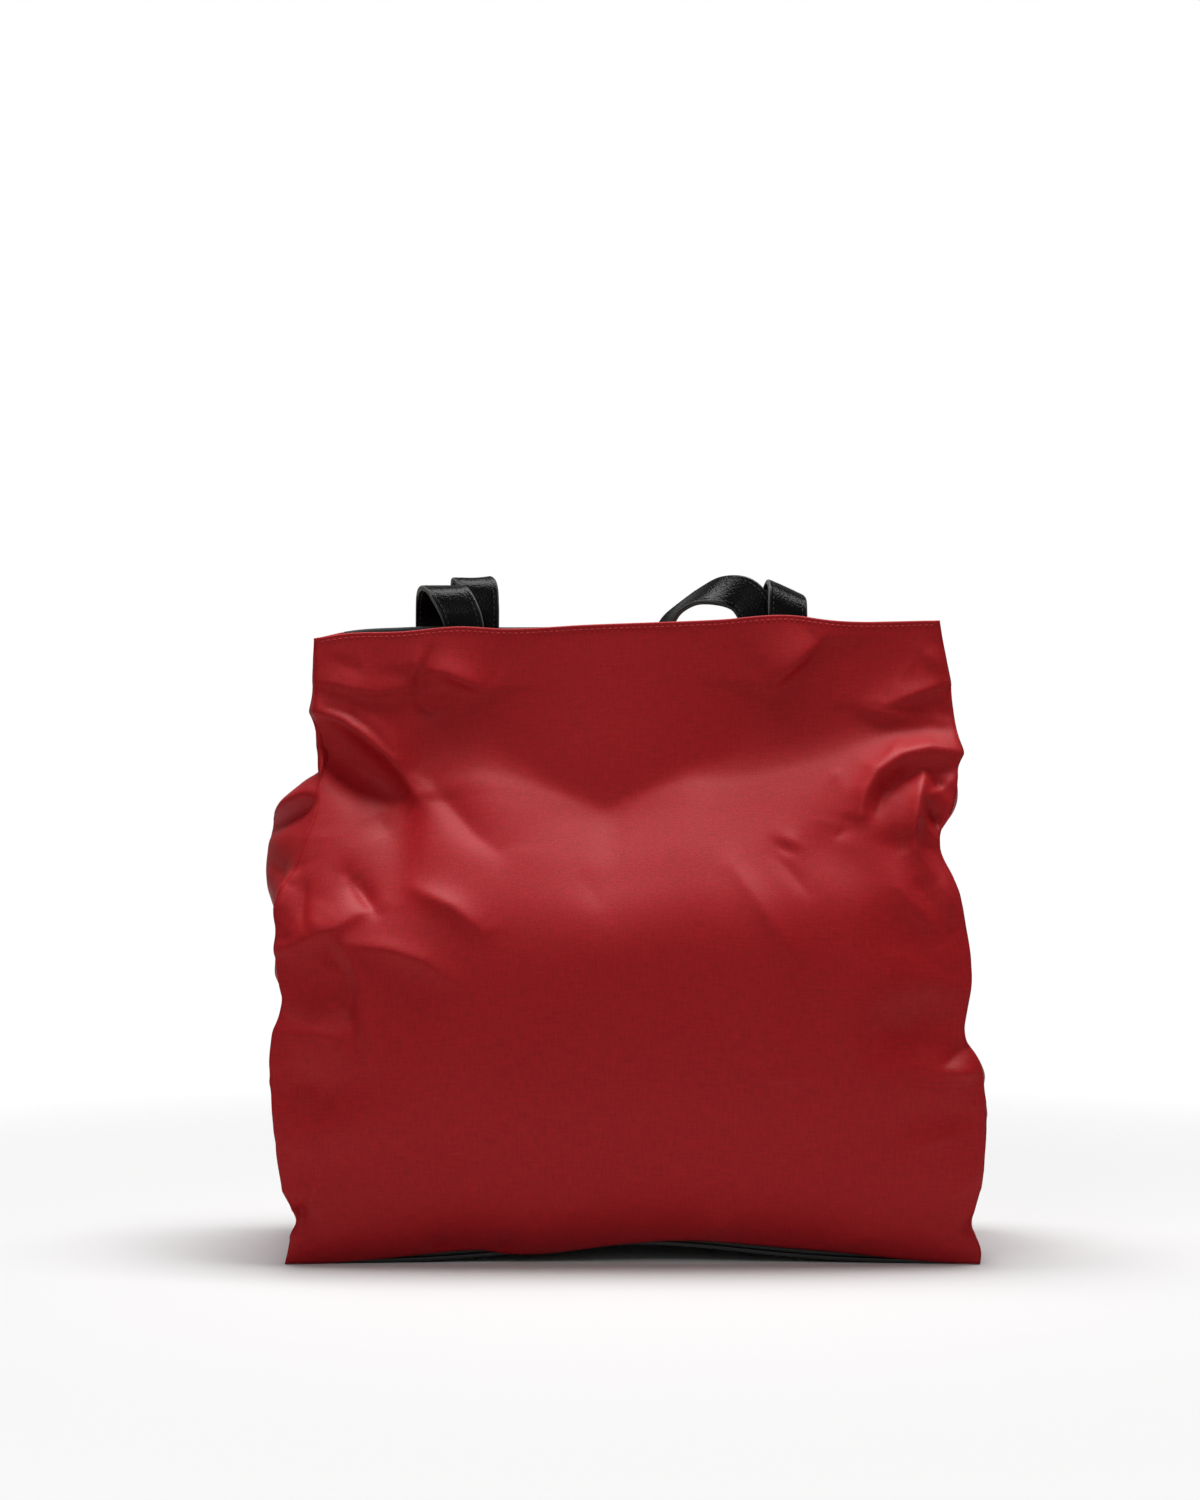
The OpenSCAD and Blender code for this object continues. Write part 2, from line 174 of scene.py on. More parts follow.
def number_between(tree, factor, lowest, highest, noise=(0.3, 0.7)):
    """A number that goes from lowest to highest as a factor goes from one value to another."""
    values = {"From Min": noise[0], "From Max": noise[1], "To Min": lowest, "To Max": highest}
    number = add_node(tree, "ShaderNodeMapRange", values)
    tree.links.new(factor, number.inputs["Value"])
    return number.outputs["Result"]


def raise_surface(tree, shader, first, second, strength, distance):
    """Bump a surface by the sum of two heights, and give that sum back."""
    height = add_node(tree, "ShaderNodeMath", operation="ADD")
    bump = add_node(tree, "ShaderNodeBump", {"Strength": strength, "Distance": distance})
    tree.links.new(first, height.inputs[0])
    tree.links.new(second, height.inputs[1])
    tree.links.new(height.outputs["Value"], bump.inputs["Height"])
    tree.links.new(bump.outputs["Normal"], shader.inputs["Normal"])
    return height.outputs["Value"]


def leather_finish(name, dark, light, rough, grain, shine, relief):
    """Black leather: a pebbled grain, faint colour change, and gloss that varies with the grain."""
    made, tree, shader = new_material(name)
    link = tree.links.new
    shader.inputs["Specular IOR Level"].default_value = shine
    place = add_node(tree, "ShaderNodeTexCoord").outputs["Object"]
    pebble_values = {"Scale": grain, "Randomness": 0.9, "Smoothness": 0.4}
    pebbles = add_node(tree, "ShaderNodeTexVoronoi", pebble_values, feature="SMOOTH_F1")
    link(place, pebbles.inputs["Vector"])
    pores = noise_over(tree, place, grain * 1.9, 3.0)
    patches = noise_over(tree, place, 38.0, 3.0)
    link(shade_between(tree, patches, dark, light), shader.inputs["Base Color"])
    link(number_between(tree, pores, rough - 0.06, rough + 0.08), shader.inputs["Roughness"])
    raise_surface(tree, shader, pebbles.outputs["Distance"], pores, relief, 0.0004)
    return made


base_leather = leather_finish(
    "base_leather_black",
    dark=(0.010,) * 3,
    light=(0.021,) * 3,
    rough=0.46,
    grain=620,
    shine=0.3,
    relief=0.2,
)
base = base_sheet("base_leather_sheet", 0.0, BASE_T, base_leather)
thicken(base, BASE_T, BASE_EDGE_ROUND)
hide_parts("base_panel")
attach(base, "bag")


# The piping: a thin cord covered with the same leather, sewn into the seam between the walls
# and the base, all the way round.
PIPING_D = 3.0
PIPING_STEPS = 160
LEATHER_GAP = 0.15


def around_base(inset):
    """Points along the base's edge, set in from it, counterclockwise from the front left."""
    t = np.linspace(0, np.pi, PIPING_STEPS, endpoint=False)
    x = -(BASE_HALF_W - inset) * np.cos(t)
    near = np.stack([x, -base_edge(x, inset)], axis=1)
    far = np.stack([-x, base_edge(x, inset)], axis=1)
    return np.concatenate([near, far])


def tube_object(name, path, radii, material, closed=False, sides=10):
    """A tube with an upright oval section (half width, half height) along points in millimetres."""
    path = np.asarray(path, float)
    if closed:
        way = np.roll(path, -1, axis=0) - np.roll(path, 1, axis=0)
    else:
        way = np.gradient(path, axis=0)
    way /= np.linalg.norm(way, axis=1, keepdims=True)
    out = np.cross(way, (0, 0, 1.0))
    out /= np.linalg.norm(out, axis=1, keepdims=True)
    up = np.cross(out, way)
    turn = np.linspace(0, 2 * np.pi, sides, endpoint=False)
    rings = (
        path[:, None]
        + radii[0] * np.cos(turn)[None, :, None] * out[:, None]
        + radii[1] * np.sin(turn)[None, :, None] * up[:, None]
    )
    count = len(path)
    faces = []
    for i in range(count if closed else count - 1):
        n = (i + 1) % count
        for k in range(sides):
            m = (k + 1) % sides
            faces.append((i * sides + k, i * sides + m, n * sides + m, n * sides + k))
    if not closed:
        faces.append(tuple(range(sides))[::-1])
        faces.append(tuple((count - 1) * sides + k for k in range(sides)))
    return mesh_object(name, rings, faces, material)


seam_line = around_base(PIPING_D / 2)
piping_up = arch(seam_line[:, 0]) + BASE_T + LEATHER_GAP + PIPING_D / 2
piping_line = np.column_stack([seam_line, piping_up])
piping_radii = (PIPING_D / 2, PIPING_D / 2)
piping = tube_object("piping_cord", piping_line, piping_radii, base_leather, closed=True)
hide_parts("base_piping")
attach(piping, "bag")


# The base lining: a sheet of black nylon, cut a little smaller than the base and glued over the
# leather inside the bag, within the piping.
LINING_T = 0.8
LINING_IN = PIPING_D + 1
WEAVE = ((2300.0, 420.0, 1), (420.0, 2300.0, 1))


def threads_along(tree, scale, detail, roughness=0.5):
    """Noise drawn out along the threads that run one way, over the piece's own UV map."""
    cloth = add_node(tree, "ShaderNodeUVMap", uv_map="cloth")
    turn = add_node(tree, "ShaderNodeMapping", {"Scale": scale})
    tree.links.new(cloth.outputs["UV"], turn.inputs["Vector"])
    return noise_over(tree, turn.outputs["Vector"], 1.0, detail, roughness)


def nylon_weave(tree, shader, strength):
    """Fine uneven threads both ways, as a bump. Gives back how high they stand."""
    warp, weft = (threads_along(tree, scale, 1.0) for scale in WEAVE)
    return raise_surface(tree, shader, warp, weft, strength, 0.0003)


def lining_finish():
    """Black nylon: matt, with painted shade in its weave: lighter where its threads stand up, darker
    between them.
    """
    made, tree, shader = new_material("lining_black_nylon")
    shader.inputs["Roughness"].default_value = 0.62
    shader.inputs["Sheen Weight"].default_value = 0.1
    threads = nylon_weave(tree, shader, 0.3)
    # The colour follows the weave's height: painted shade between the threads.
    tone = shade_between(tree, threads, (0.010, 0.010, 0.011), (0.026, 0.026, 0.028))
    tree.links.new(tone, shader.inputs["Base Color"])
    return made


lining_black = lining_finish()
lining = base_sheet("base_lining_sheet", LINING_IN, BASE_T + LEATHER_GAP + LINING_T, lining_black)
thicken(lining, LINING_T)
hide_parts("base_lining")
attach(lining, "bag")


# The bag's body: four pieces of red nylon twill, cut flat and sewn into one shell that sags.
# The front and back walls lean in to a narrow mouth, and the two gussets between them bulge
# below and tuck in between the walls above.
WALL_COLUMNS = 220
GUSSET_COLUMNS = 48
ROWS = 208
CLOTH_T = 0.9
BELLY_SHAPE = 3

# How the section changes from the foot to the hem: share of the height, half the depth at
# the seams, how far the wall bellies out past them, and how far the gusset tucks in
LEVELS = [
    (0.00, 59.5, -6.0, 0),
    (0.06, 62.0, 5.0, 0),
    (0.20, 66.0, 14.0, 0),
    (0.38, 64.0, 19.0, 0),
    (0.57, 53.5, 18.5, 0),
    (0.64, 46.5, 15.5, 0),
    (0.70, 40.0, 12.0, 2),
    (0.76, 32.0, 7.5, 10),
    (0.79, 27.0, 5.0, 19),
    (0.815, 22.4, 3.0, 27),
    (0.84, 19.4, 1.8, 35),
    (0.87, 17.8, 1.0, 43),
    (0.91, 16.8, 0.8, 52),
    (1.00, 15.5, 0.4, 60),
]
# The side seams on the left and right: height, how far out the seam is, and how far the gusset
# bulges past it
LEFT_SEAM = [
    (0, 177, 0),
    (10, 174.5, 0),
    (20, 172, 0),
    (34, 176, 0),
    (60, 180, 1),
    (91, 182, 1),
    (118, 181.5, 1),
    (131, 178.5, 1),
    (149, 179.5, 1),
    (170, 180, 3),
    (187, 178.5, 8),
    (200, 174, 16),
    (210, 170.5, 20),
    (219, 167.5, 23),
    (228, 164.5, 23),
    (236, 162.5, 24),
    (245, 162, 21),
    (251, 162.2, 19),
    (257, 162.8, 14),
    (265, 163.4, 8),
    (275, 164, 3),
    (292, 165, 0),
    (335, 166, 0),
]
RIGHT_SEAM = [
    (0, 182.5, 0),
    (5, 183, 0),
    (24, 179.5, 0),
    (42, 182, 0),
    (86, 182.5, 0),
    (106, 180, 0),
    (114, 177, 0),
    (121, 174.5, 0),
    (132, 175, 0),
    (146, 176.5, 0),
    (178, 173.5, 0),
    (201, 168, 0),
    (210, 164.5, 0),
    (218, 162.5, 0),
    (227, 166, 2),
    (236, 169.5, 3),
    (256, 173, 2),
    (285, 172.5, 0),
    (305, 170.5, 0),
    (335, 166.5, 0),
]
# Where the upright top of the front wall breaks into the slope of the shoulder: place across,
# height
SHOULDER = [
    (-166, 272),
    (-150, 262),
    (-134, 252),
    (-118, 250),
    (-104, 259),
    (-84, 262),
    (-57, 254),
    (-42, 246),
    (-27, 238),
    (-9, 231),
    (4, 236),
    (18, 243),
    (33, 250),
    (53, 255),
    (90, 266),
    (115, 274),
    (135, 281),
    (166, 286),
]
# The same line on the back wall
BACK_SHOULDER = [
    (-166, 284),
    (-128, 280),
    (-82, 272),
    (-30, 268),
    (26, 272),
    (84, 270),
    (130, 279),
    (166, 286),
]
# The share of the height at which each wall's section breaks, looked for between two shares at
# the front, and the shares between which the section is shifted up or down to break there
BACK_BREAK = 0.84
FRONT_BREAKS = (0.9, 0.5)
BREAK_STEPS = 200
BREAK_BELLY = 0.95
SHIFT_START, SHIFT_RISE = 0.45, 0.25
SHIFT_END, SHIFT_FALL = 0.985, 0.12
# The top of the front leans out from the hem down to that line, most of all in the middle
MOUTH_HALF = 15.5
TOP_LEAN = 12.0
LEAN_DOWN = 82.0
LEAN_END = 130.0
LEAN_MIDDLE = -8.0
LEAN_REACH = 110.0
UPRIGHT_DEPTH = 20.4
UPRIGHT_SOFT = 5.0
BREAK_SOFT = 3.0
BREAK_SOFT_LEAN = 10.0
# The hem's height across, at the front and at the back
FRONT_HEM = [
    (-166, 325),
    (-150, 327.5),
    (-120, 328.6),
    (-88, 331.3),
    (-66, 330.2),
    (-20, 332.3),
    (48, 334.9),
    (88, 337.2),
    (108, 334.6),
    (166, 334.5),
]
BACK_HEM = [(-166, 326.5), (-151, 329.8), (-120, 332), (-60, 332), (0, 332.5), (100, 334.5), (166, 333)]
# How much of the base leather and its piping the front wall leaves in sight, across
FOOT_GAP = [
    (-180, 0.3),
    (-150, 0.6),
    (-118, 2.6),
    (-90, 4.2),
    (-74, 3.4),
    (-64, 1.0),
    (0, 0.7),
    (26, 3.0),
    (68, 4.6),
    (110, 4.2),
    (140, 2.2),
    (165, 0.6),
    (182, 0.3),
]
BACK_FOOT_GAP = 3.0
# Half the width that the places across are first worked out from
MIDDLE_HALF_W = 172
# A gusset bows out round, and the more it tucks in the sharper it folds, up to a full tuck
GUSSET_ROUND = 2
GUSSET_SHARPER = 0.8
FULL_TUCK = 30


def through(table, at):
    """The values of a smooth curve through rows of (place, value, ...), one array per value."""
    rows = np.array(table, float)
    places, values = rows[:, 0], rows[:, 1:]
    slopes = np.gradient(values, places, axis=0)
    at = np.clip(np.asarray(at, float), places[0], places[-1])
    i = np.clip(np.searchsorted(places, at) - 1, 0, len(places) - 2)
    step = (places[i + 1] - places[i])[..., None]
    t = (at - places[i])[..., None] / step
    curve = (
        (2 * t**3 - 3 * t**2 + 1) * values[i]
        + (t**3 - 2 * t**2 + t) * step * slopes[i]
        + (3 * t**2 - 2 * t**3) * values[i + 1]
        + (t**3 - t**2) * step * slopes[i + 1]
    )
    return np.moveaxis(curve, -1, 0)


def ease(t):
    """A smooth step from 0 to 1."""
    t = np.clip(t, 0, 1)
    return t * t * (3 - 2 * t)


def soft_greater(a, b, soft):
    """The greater of two values, with a rounded change from one to the other."""
    return (a + b + np.hypot(a - b, soft)) / 2


def top_lean(x, down):
    """How far the front's top leans out, some way below the hem."""
    beside = ease(1 - np.abs(x - LEAN_MIDDLE) / LEAN_REACH)
    return TOP_LEAN * np.clip(down, 0, LEAN_END) / LEAN_DOWN * beside


def wall_points(front):
    """A wall's outer face as a grid of points, rows from foot to hem and columns left to right."""
    up, across = np.linspace(0, 1, ROWS + 1), np.linspace(-1, 1, WALL_COLUMNS + 1)
    v, u = np.meshgrid(up, across, indexing="ij")
    x = u * MIDDLE_HALF_W
    # Heights depend on the places across and the other way round, so a few turns settle both
    for _ in range(3):
        foot = arch(x) + (through(FOOT_GAP, x)[0] if front else BACK_FOOT_GAP)
        hem = through(FRONT_HEM if front else BACK_HEM, x)[0]
        z = foot + (hem - foot) * v
        left, right = through(LEFT_SEAM, z)[0], through(RIGHT_SEAM, z)[0]
        x = -left + (left + right) * (u + 1) / 2
    if front:
        break_z = through(SHOULDER, x)[0]
        break_depth = MOUTH_HALF + top_lean(x, hem - break_z)
        steps = np.linspace(*FRONT_BREAKS, BREAK_STEPS)
        depths = through(LEVELS, steps)[0] + BREAK_BELLY * through(LEVELS, steps)[1]
        section_break = np.interp(
            soft_greater(break_depth, UPRIGHT_DEPTH, UPRIGHT_SOFT), depths, steps
        )
        shift = section_break - break_z / hem
    else:
        shift = BACK_BREAK - through(BACK_SHOULDER, x)[0] / hem
    level = v + shift * ease((v - SHIFT_START) / SHIFT_RISE) * ease((SHIFT_END - v) / SHIFT_FALL)
    depth, belly, _ = through(LEVELS, level)
    y = depth + belly * (1 - np.abs(u) ** BELLY_SHAPE)
    if not front:
        return np.stack([x, y, z], axis=-1)
    lean = top_lean(x, hem - z)
    y = soft_greater(y, MOUTH_HALF + lean, BREAK_SOFT * ease(lean / BREAK_SOFT_LEAN))
    return np.stack([x, -y, z], axis=-1)


def gusset_points(front_seam, back_seam, right):
    """A gusset's outer face between two seams: rows up, columns from front to back."""
    s = np.linspace(-1, 1, GUSSET_COLUMNS + 1)[None, :]
    v = np.linspace(0, 1, ROWS + 1)
    mix = (s + 1) / 2
    points = front_seam[:, None] * (1 - mix[..., None]) + back_seam[:, None] * mix[..., None]
    bulge = through(RIGHT_SEAM if right else LEFT_SEAM, front_seam[:, 2])[1][:, None]
    tuck = through(LEVELS, v)[2][:, None]
    roundness = GUSSET_ROUND - GUSSET_SHARPER * np.clip(tuck / FULL_TUCK, 0, 1)
    out = (bulge - tuck) * (1 - np.abs(s) ** roundness)
    points[..., 0] += out if right else -out
    return points


front_grid = wall_points(True)
back_grid = wall_points(False)
right_grid = gusset_points(front_grid[:, -1], back_grid[:, -1], True)
left_grid = gusset_points(front_grid[:, 0], back_grid[:, 0], False)

# The shell as one closed band of columns: front, right gusset, back, left gusset
shell = np.concatenate(
    [grid[:, :-1] for grid in (front_grid, right_grid, back_grid[:, ::-1], left_grid[:, ::-1])], axis=1
)
SEAMS = [0, WALL_COLUMNS, WALL_COLUMNS + GUSSET_COLUMNS, 2 * WALL_COLUMNS + GUSSET_COLUMNS]


def columns_of(seam, count):
    """The shell's columns from one seam to the next."""
    return (SEAMS[seam] + np.arange(count + 1)) % shell.shape[1]


FRONT_COLUMNS = columns_of(0, WALL_COLUMNS)
RIGHT_COLUMNS = columns_of(1, GUSSET_COLUMNS)
BACK_COLUMNS = columns_of(2, WALL_COLUMNS)
LEFT_COLUMNS = columns_of(3, GUSSET_COLUMNS)


def shell_normals(points):
    """The way out of the shell at each of its points."""
    along = np.roll(points, -2, axis=1) - np.roll(points, 2, axis=1)
    up = np.gradient(points, axis=0)
    n = np.cross(along, up)
    return n / np.linalg.norm(n, axis=-1, keepdims=True)


# Folds of the front wall, each a crest or a hollow along a line. Points across and up, how far
# it stands out, and how wide it is on its upper and on its lower side
FRONT_FOLDS = [
    ([(-163, 303), (-150, 300), (-135, 297), (-116, 298)], 5.0, 18, 4),
    ([(-118, 300), (-111, 309), (-105, 320)], 2.6, 5, 4),
    ([(-104, 319), (-110, 306), (-109, 293)], -3.4, 4, 4),
    ([(-106, 309), (-94, 306), (-83, 301), (-74, 297)], 6.4, 11, 4),
    ([(-112, 290), (-100, 287)], -2.4, 4, 4),
    ([(-165, 287), (-150, 282), (-138, 274), (-127, 264), (-118, 253), (-111, 243)], 11.5, 10, 4.5),
    ([(-158, 289), (-146, 285), (-134, 276), (-124, 265)], -3.0, 2.4, 2.4),
    ([(-161, 264), (-145, 258), (-130, 251), (-118, 246)], -4.2, 9, 22),
    ([(-108, 254), (-92, 238), (-79, 224), (-68, 215)], -4.4, 10, 8),
    ([(-132, 234), (-125, 222)], -1.5, 6, 6),
    ([(102, 324), (90, 312), (76, 300)], 7.0, 17, 4),
    ([(138, 290), (152, 295), (170, 302)], 5.0, 9, 4),
    ([(158, 319), (167, 309)], 2.4, 6, 4),
    ([(124, 289), (137, 284), (156, 282)], 4.4, 10, 4),
    ([(122, 232), (125, 242), (132, 252), (145, 260), (159, 264), (173, 264)], 8.0, 8, 4),
    ([(130, 236), (134, 245), (142, 252), (153, 256), (171, 256)], -5.0, 4, 5),
    ([(156, 254), (152, 241), (148, 227), (149, 213), (156, 202)], 8.0, 5, 5),
    ([(172, 252), (158, 241)], 3.0, 4, 4),
    ([(153, 231), (157, 224), (162, 216)], 2.6, 3, 3),
    ([(167, 251), (161, 246)], -5.0, 5, 5),
    ([(158, 236), (164, 226)], -5.0, 4, 4),
    ([(77, 218), (86, 213)], -1.5, 3, 3),
    ([(80, 221), (90, 216)], 1.2, 4, 3),
    ([(77, 212), (85, 203), (92, 193)], -1.6, 4, 4),
    ([(55, 205), (72, 180), (84, 162)], 2.2, 7, 6),
    ([(164, 197), (166, 188), (168, 179)], 2.6, 4, 4),
    ([(140, 195), (152, 180), (164, 168)], 2.4, 6, 6),
    ([(150, 200), (158, 186)], -2.6, 6, 6),
    ([(163, 104), (170, 111), (177, 117)], -3.0, 4, 4),
    ([(160, 102), (170, 100), (181, 99)], 2.8, 5, 4),
    ([(144, 62), (177, 70)], 2.2, 7, 6),
    ([(168, 36), (180, 49)], 1.6, 5, 5),
    ([(150, 150), (146, 120), (150, 84)], -2.0, 14, 14),
    ([(-176, 199), (-178, 189), (-181, 178)], 3.0, 3, 3),
    ([(-167, 196), (-168, 184), (-166, 174)], -2.4, 3, 3),
    ([(-143, 201), (-137, 193), (-130, 183)], -4.4, 5, 4),
    ([(-134, 184), (-148, 175), (-167, 168), (-183, 160)], 4.0, 12, 5),
    ([(-149, 169), (-141, 157), (-137, 147), (-136, 134), (-130, 106)], 2.4, 4, 4),
    ([(-154, 164), (-146, 152), (-143, 138), (-138, 112)], -2.6, 5, 5),
    ([(-143, 166), (-121, 163), (-104, 158), (-90, 148)], 4.4, 7, 6),
    ([(-108, 193), (-89, 184), (-74, 173)], 4.0, 7, 5),
    ([(-180, 121), (-164, 121), (-149, 120)], 2.6, 7, 5),
    ([(-170, 104), (-158, 86), (-154, 60)], -2.0, 10, 10),
    ([(-25, 204), (-12, 184)], -0.8, 8, 8),
    ([(-172, 30), (-166, 24)], -5.0, 6, 6),
    ([(-174, 14), (-164, 17)], 3.0, 6, 6),
    ([(-98, 6), (-92, 14)], -2.0, 5, 5),
    ([(-66, 6), (-58, 14)], -2.0, 5, 5),
    ([(-40, 29), (-24, 30)], 1.2, 6, 5),
    ([(40, 18), (54, 24)], 2.2, 8, 8),
    ([(106, 11), (132, 17)], 1.6, 6, 6),
    ([(174, 24), (180, 16)], -3.0, 5, 5),
]

# The same for the left gusset, the right gusset and the back wall. On the gussets the place
# across is the depth.
LEFT_FOLDS = [
    ([(-37, 248), (-20, 239), (0, 229)], 4.5, 8, 3),
    ([(-38, 241), (-20, 232), (0, 222)], -4.0, 3, 7),
    ([(-52, 190), (-38, 202), (-22, 206)], -3.0, 6, 6),
    ([(-20, 196), (6, 178), (30, 172)], 2.6, 9, 6),
    ([(40, 214), (18, 196), (4, 190)], 3.0, 9, 6),
    ([(-56, 152), (-34, 146), (-16, 148)], 2.4, 9, 6),
    ([(52, 128), (30, 118), (10, 122)], 2.2, 9, 7),
    ([(-54, 96), (-30, 92), (-8, 98)], -1.8, 8, 8),
    ([(50, 60), (24, 52), (2, 56)], 1.8, 9, 7),
    ([(-48, 24), (-22, 30), (6, 26)], 2.0, 8, 7),
]
RIGHT_FOLDS = [
    ([(-30, 250), (-14, 240), (4, 228)], 4.0, 5, 9),
    ([(34, 246), (18, 234), (2, 224)], 3.4, 5, 9),
    ([(-50, 200), (-30, 190), (-10, 192)], -3.0, 7, 6),
    ([(48, 184), (26, 174), (6, 178)], 2.6, 9, 6),
    ([(-58, 124), (-36, 122), (-14, 130)], -3.0, 7, 7),
    ([(-58, 100), (-34, 92), (-12, 94)], 2.6, 8, 6),
    ([(54, 116), (30, 108), (8, 112)], 2.0, 9, 7),
    ([(-54, 56), (-28, 50), (-4, 56)], 1.8, 9, 7),
    ([(50, 34), (26, 28), (4, 32)], 2.0, 8, 7),
]
BACK_FOLDS = [
    ([(-166, 296), (-148, 288), (-134, 276), (-126, 262)], 4.0, 7, 6),
    ([(166, 284), (150, 276), (138, 262), (132, 248)], 4.0, 7, 6),
    ([(-162, 262), (-148, 256), (-136, 246)], -4.0, 8, 6),
    ([(164, 252), (150, 244), (140, 232)], -4.0, 8, 6),
    ([(-174, 204), (-156, 196), (-138, 194)], 3.0, 8, 5),
    ([(172, 192), (154, 184), (140, 184)], 3.0, 8, 5),
    ([(-178, 156), (-160, 150), (-142, 152)], -2.6, 7, 6),
    ([(176, 146), (158, 140), (140, 142)], -2.6, 7, 6),
    ([(-180, 104), (-160, 98), (-140, 102)], 2.2, 8, 6),
    ([(180, 96), (160, 90), (142, 94)], 2.2, 8, 6),
    ([(-168, 30), (-150, 40), (-128, 44)], 2.0, 8, 6),
    ([(172, 28), (154, 36), (130, 38)], 2.0, 8, 6),
    ([(-60, 66), (-20, 58), (24, 62), (58, 72)], -2.0, 14, 12),
    ([(-134, 254), (-118, 226), (-112, 196)], -3.0, 12, 10),
    ([(128, 250), (112, 222), (104, 190)], -3.0, 12, 10),
    ([(-52, 262), (-40, 234), (-36, 204)], -2.0, 10, 9),
    ([(48, 258), (42, 228), (46, 198)], 1.8, 9, 8),
    ([(-122, 128), (-84, 112), (-44, 106)], 2.0, 15, 8),
    ([(124, 118), (86, 104), (50, 100)], 2.0, 15, 8),
    ([(-30, 24), (0, 30), (34, 24)], 1.6, 9, 7),
]

# How a fold changes from its lower to its upper width, how high it is left at its ends, and how
# pointed its crest is
FOLD_CHANGE = 6
FOLD_END = 0.25
FOLD_INSET = 0.08
FOLD_ROUND = 0.15
FOLD_FALL = 0.65


def fold_height(across, up, fold):
    """How far a fold lifts each point of a wall, given the points' places across and up."""
    line, height, above, below = fold
    line = np.array(line, float)
    best = np.full(across.shape, np.inf)
    side = np.zeros(across.shape)
    along = np.zeros(across.shape)
    lengths = np.linalg.norm(np.diff(line, axis=0), axis=1)
    start = 0.0
    for a, b, length in zip(line[:-1], line[1:], lengths):
        way = (b - a) / length
        px, pz = across - a[0], up - a[1]
        t = np.clip(px * way[0] + pz * way[1], 0, length)
        dx, dz = px - t * way[0], pz - t * way[1]
        far = np.hypot(dx, dz)
        nearer = far < best
        best = np.where(nearer, far, best)
        side = np.where(nearer, dz, side)
        along = np.where(nearer, (start + t) / lengths.sum(), along)
        start += length
    width = below + (above - below) * ease(0.5 + side / FOLD_CHANGE)
    taper = FOLD_END + (1 - FOLD_END) * np.sin(np.pi * (FOLD_INSET + (1 - 2 * FOLD_INSET) * along))
    crest = ((best / width) ** 2 + FOLD_ROUND**2) ** FOLD_FALL
    return height * taper * np.exp(FOLD_ROUND ** (2 * FOLD_FALL) - crest)


# The cloth settles under its own weight: the hem and the foot are held, the seams nearly so, and
# the walls are cut a little slack beside the seams, where they crumple. It is run as a coarse
# shell at ten times its size.
SETTLE_STEP = 4
SETTLE_FRAMES = 24
SETTLE_SCALE = 10
SETTLE_TOP = 335
SETTLE_CAP = 9.0
HELD_WALL = 0.36
HELD_SEAM = 0.75
HELD_TOP = 0.7
HELD_TOP_START, HELD_TOP_RISE = 0.80, 0.08
HELD_HEM_REACH = 0.03
SLACK = 0.03
SLACK_EVERYWHERE = 0.05
SLACK_COLUMNS = 34.0
SLACK_START, SLACK_RISE = 0.05, 0.2
SLACK_END, SLACK_FALL = 0.97, 0.1
NYLON_GIVE = {
    "quality": 8,
    "mass": 0.3,
    "tension_stiffness": 25,
    "compression_stiffness": 25,
    "shear_stiffness": 10,
    "bending_stiffness": 18,
    "air_damping": 2,
    "vertex_group_mass": "held",
    "pin_stiffness": 1.5,
    "shrink_min": -SLACK,
    "shrink_max": 0,
    "vertex_group_shrink": "taut",
    "use_pressure": True,
    "uniform_pressure_force": 0.4,
}


def spline(a, b, c, d, t):
    """A smooth curve from b to c that also heeds the points before and after them."""
    return 0.5 * (
        2 * b + (c - a) * t + (2 * a - 5 * b + 4 * c - d) * t**2 + (3 * b - a - 3 * c + d) * t**3
    )


def between(values, count, axis, closed=False):
    """Values with smooth steps added between each two along an axis, count for each one."""
    values = np.moveaxis(values, axis, 0)
    ends = (values[-1:], values[:2]) if closed else (values[:1], values[-1:])
    padded = np.concatenate([ends[0], values, ends[1]])
    near = padded[:-3], padded[1:-2], padded[2:-1], padded[3:]
    steps = [spline(*near, t) for t in np.arange(count) / count]
    fine = np.stack(steps, axis=1).reshape(-1, *values.shape[1:])
    if not closed:
        fine = np.concatenate([fine, values[-1:]])
    return np.moveaxis(fine, 0, axis)


def held_and_taut(height, from_seam):
    """How firmly each point of the cloth is held, and how taut it is cut, from 0 to 1."""
    held = np.full(height.shape, HELD_WALL)
    held[:, from_seam == 0] = HELD_SEAM
    top = ease((height - HELD_TOP_START) / HELD_TOP_RISE)
    held = held + (HELD_TOP - held) * (held < HELD_TOP) * top
    held = held + (1 - held) * np.exp(-(((height - 1) / HELD_HEM_REACH) ** 2))
    held[0] = held[-1] = 1
    slack = np.exp(-((from_seam / SLACK_COLUMNS) ** 2))[None, :]
    slack = slack * ease((height - SLACK_START) / SLACK_RISE)
    slack = slack * ease((SLACK_END - height) / SLACK_FALL)
    return held, 1 - np.clip(SLACK_EVERYWHERE + slack, 0, 1)


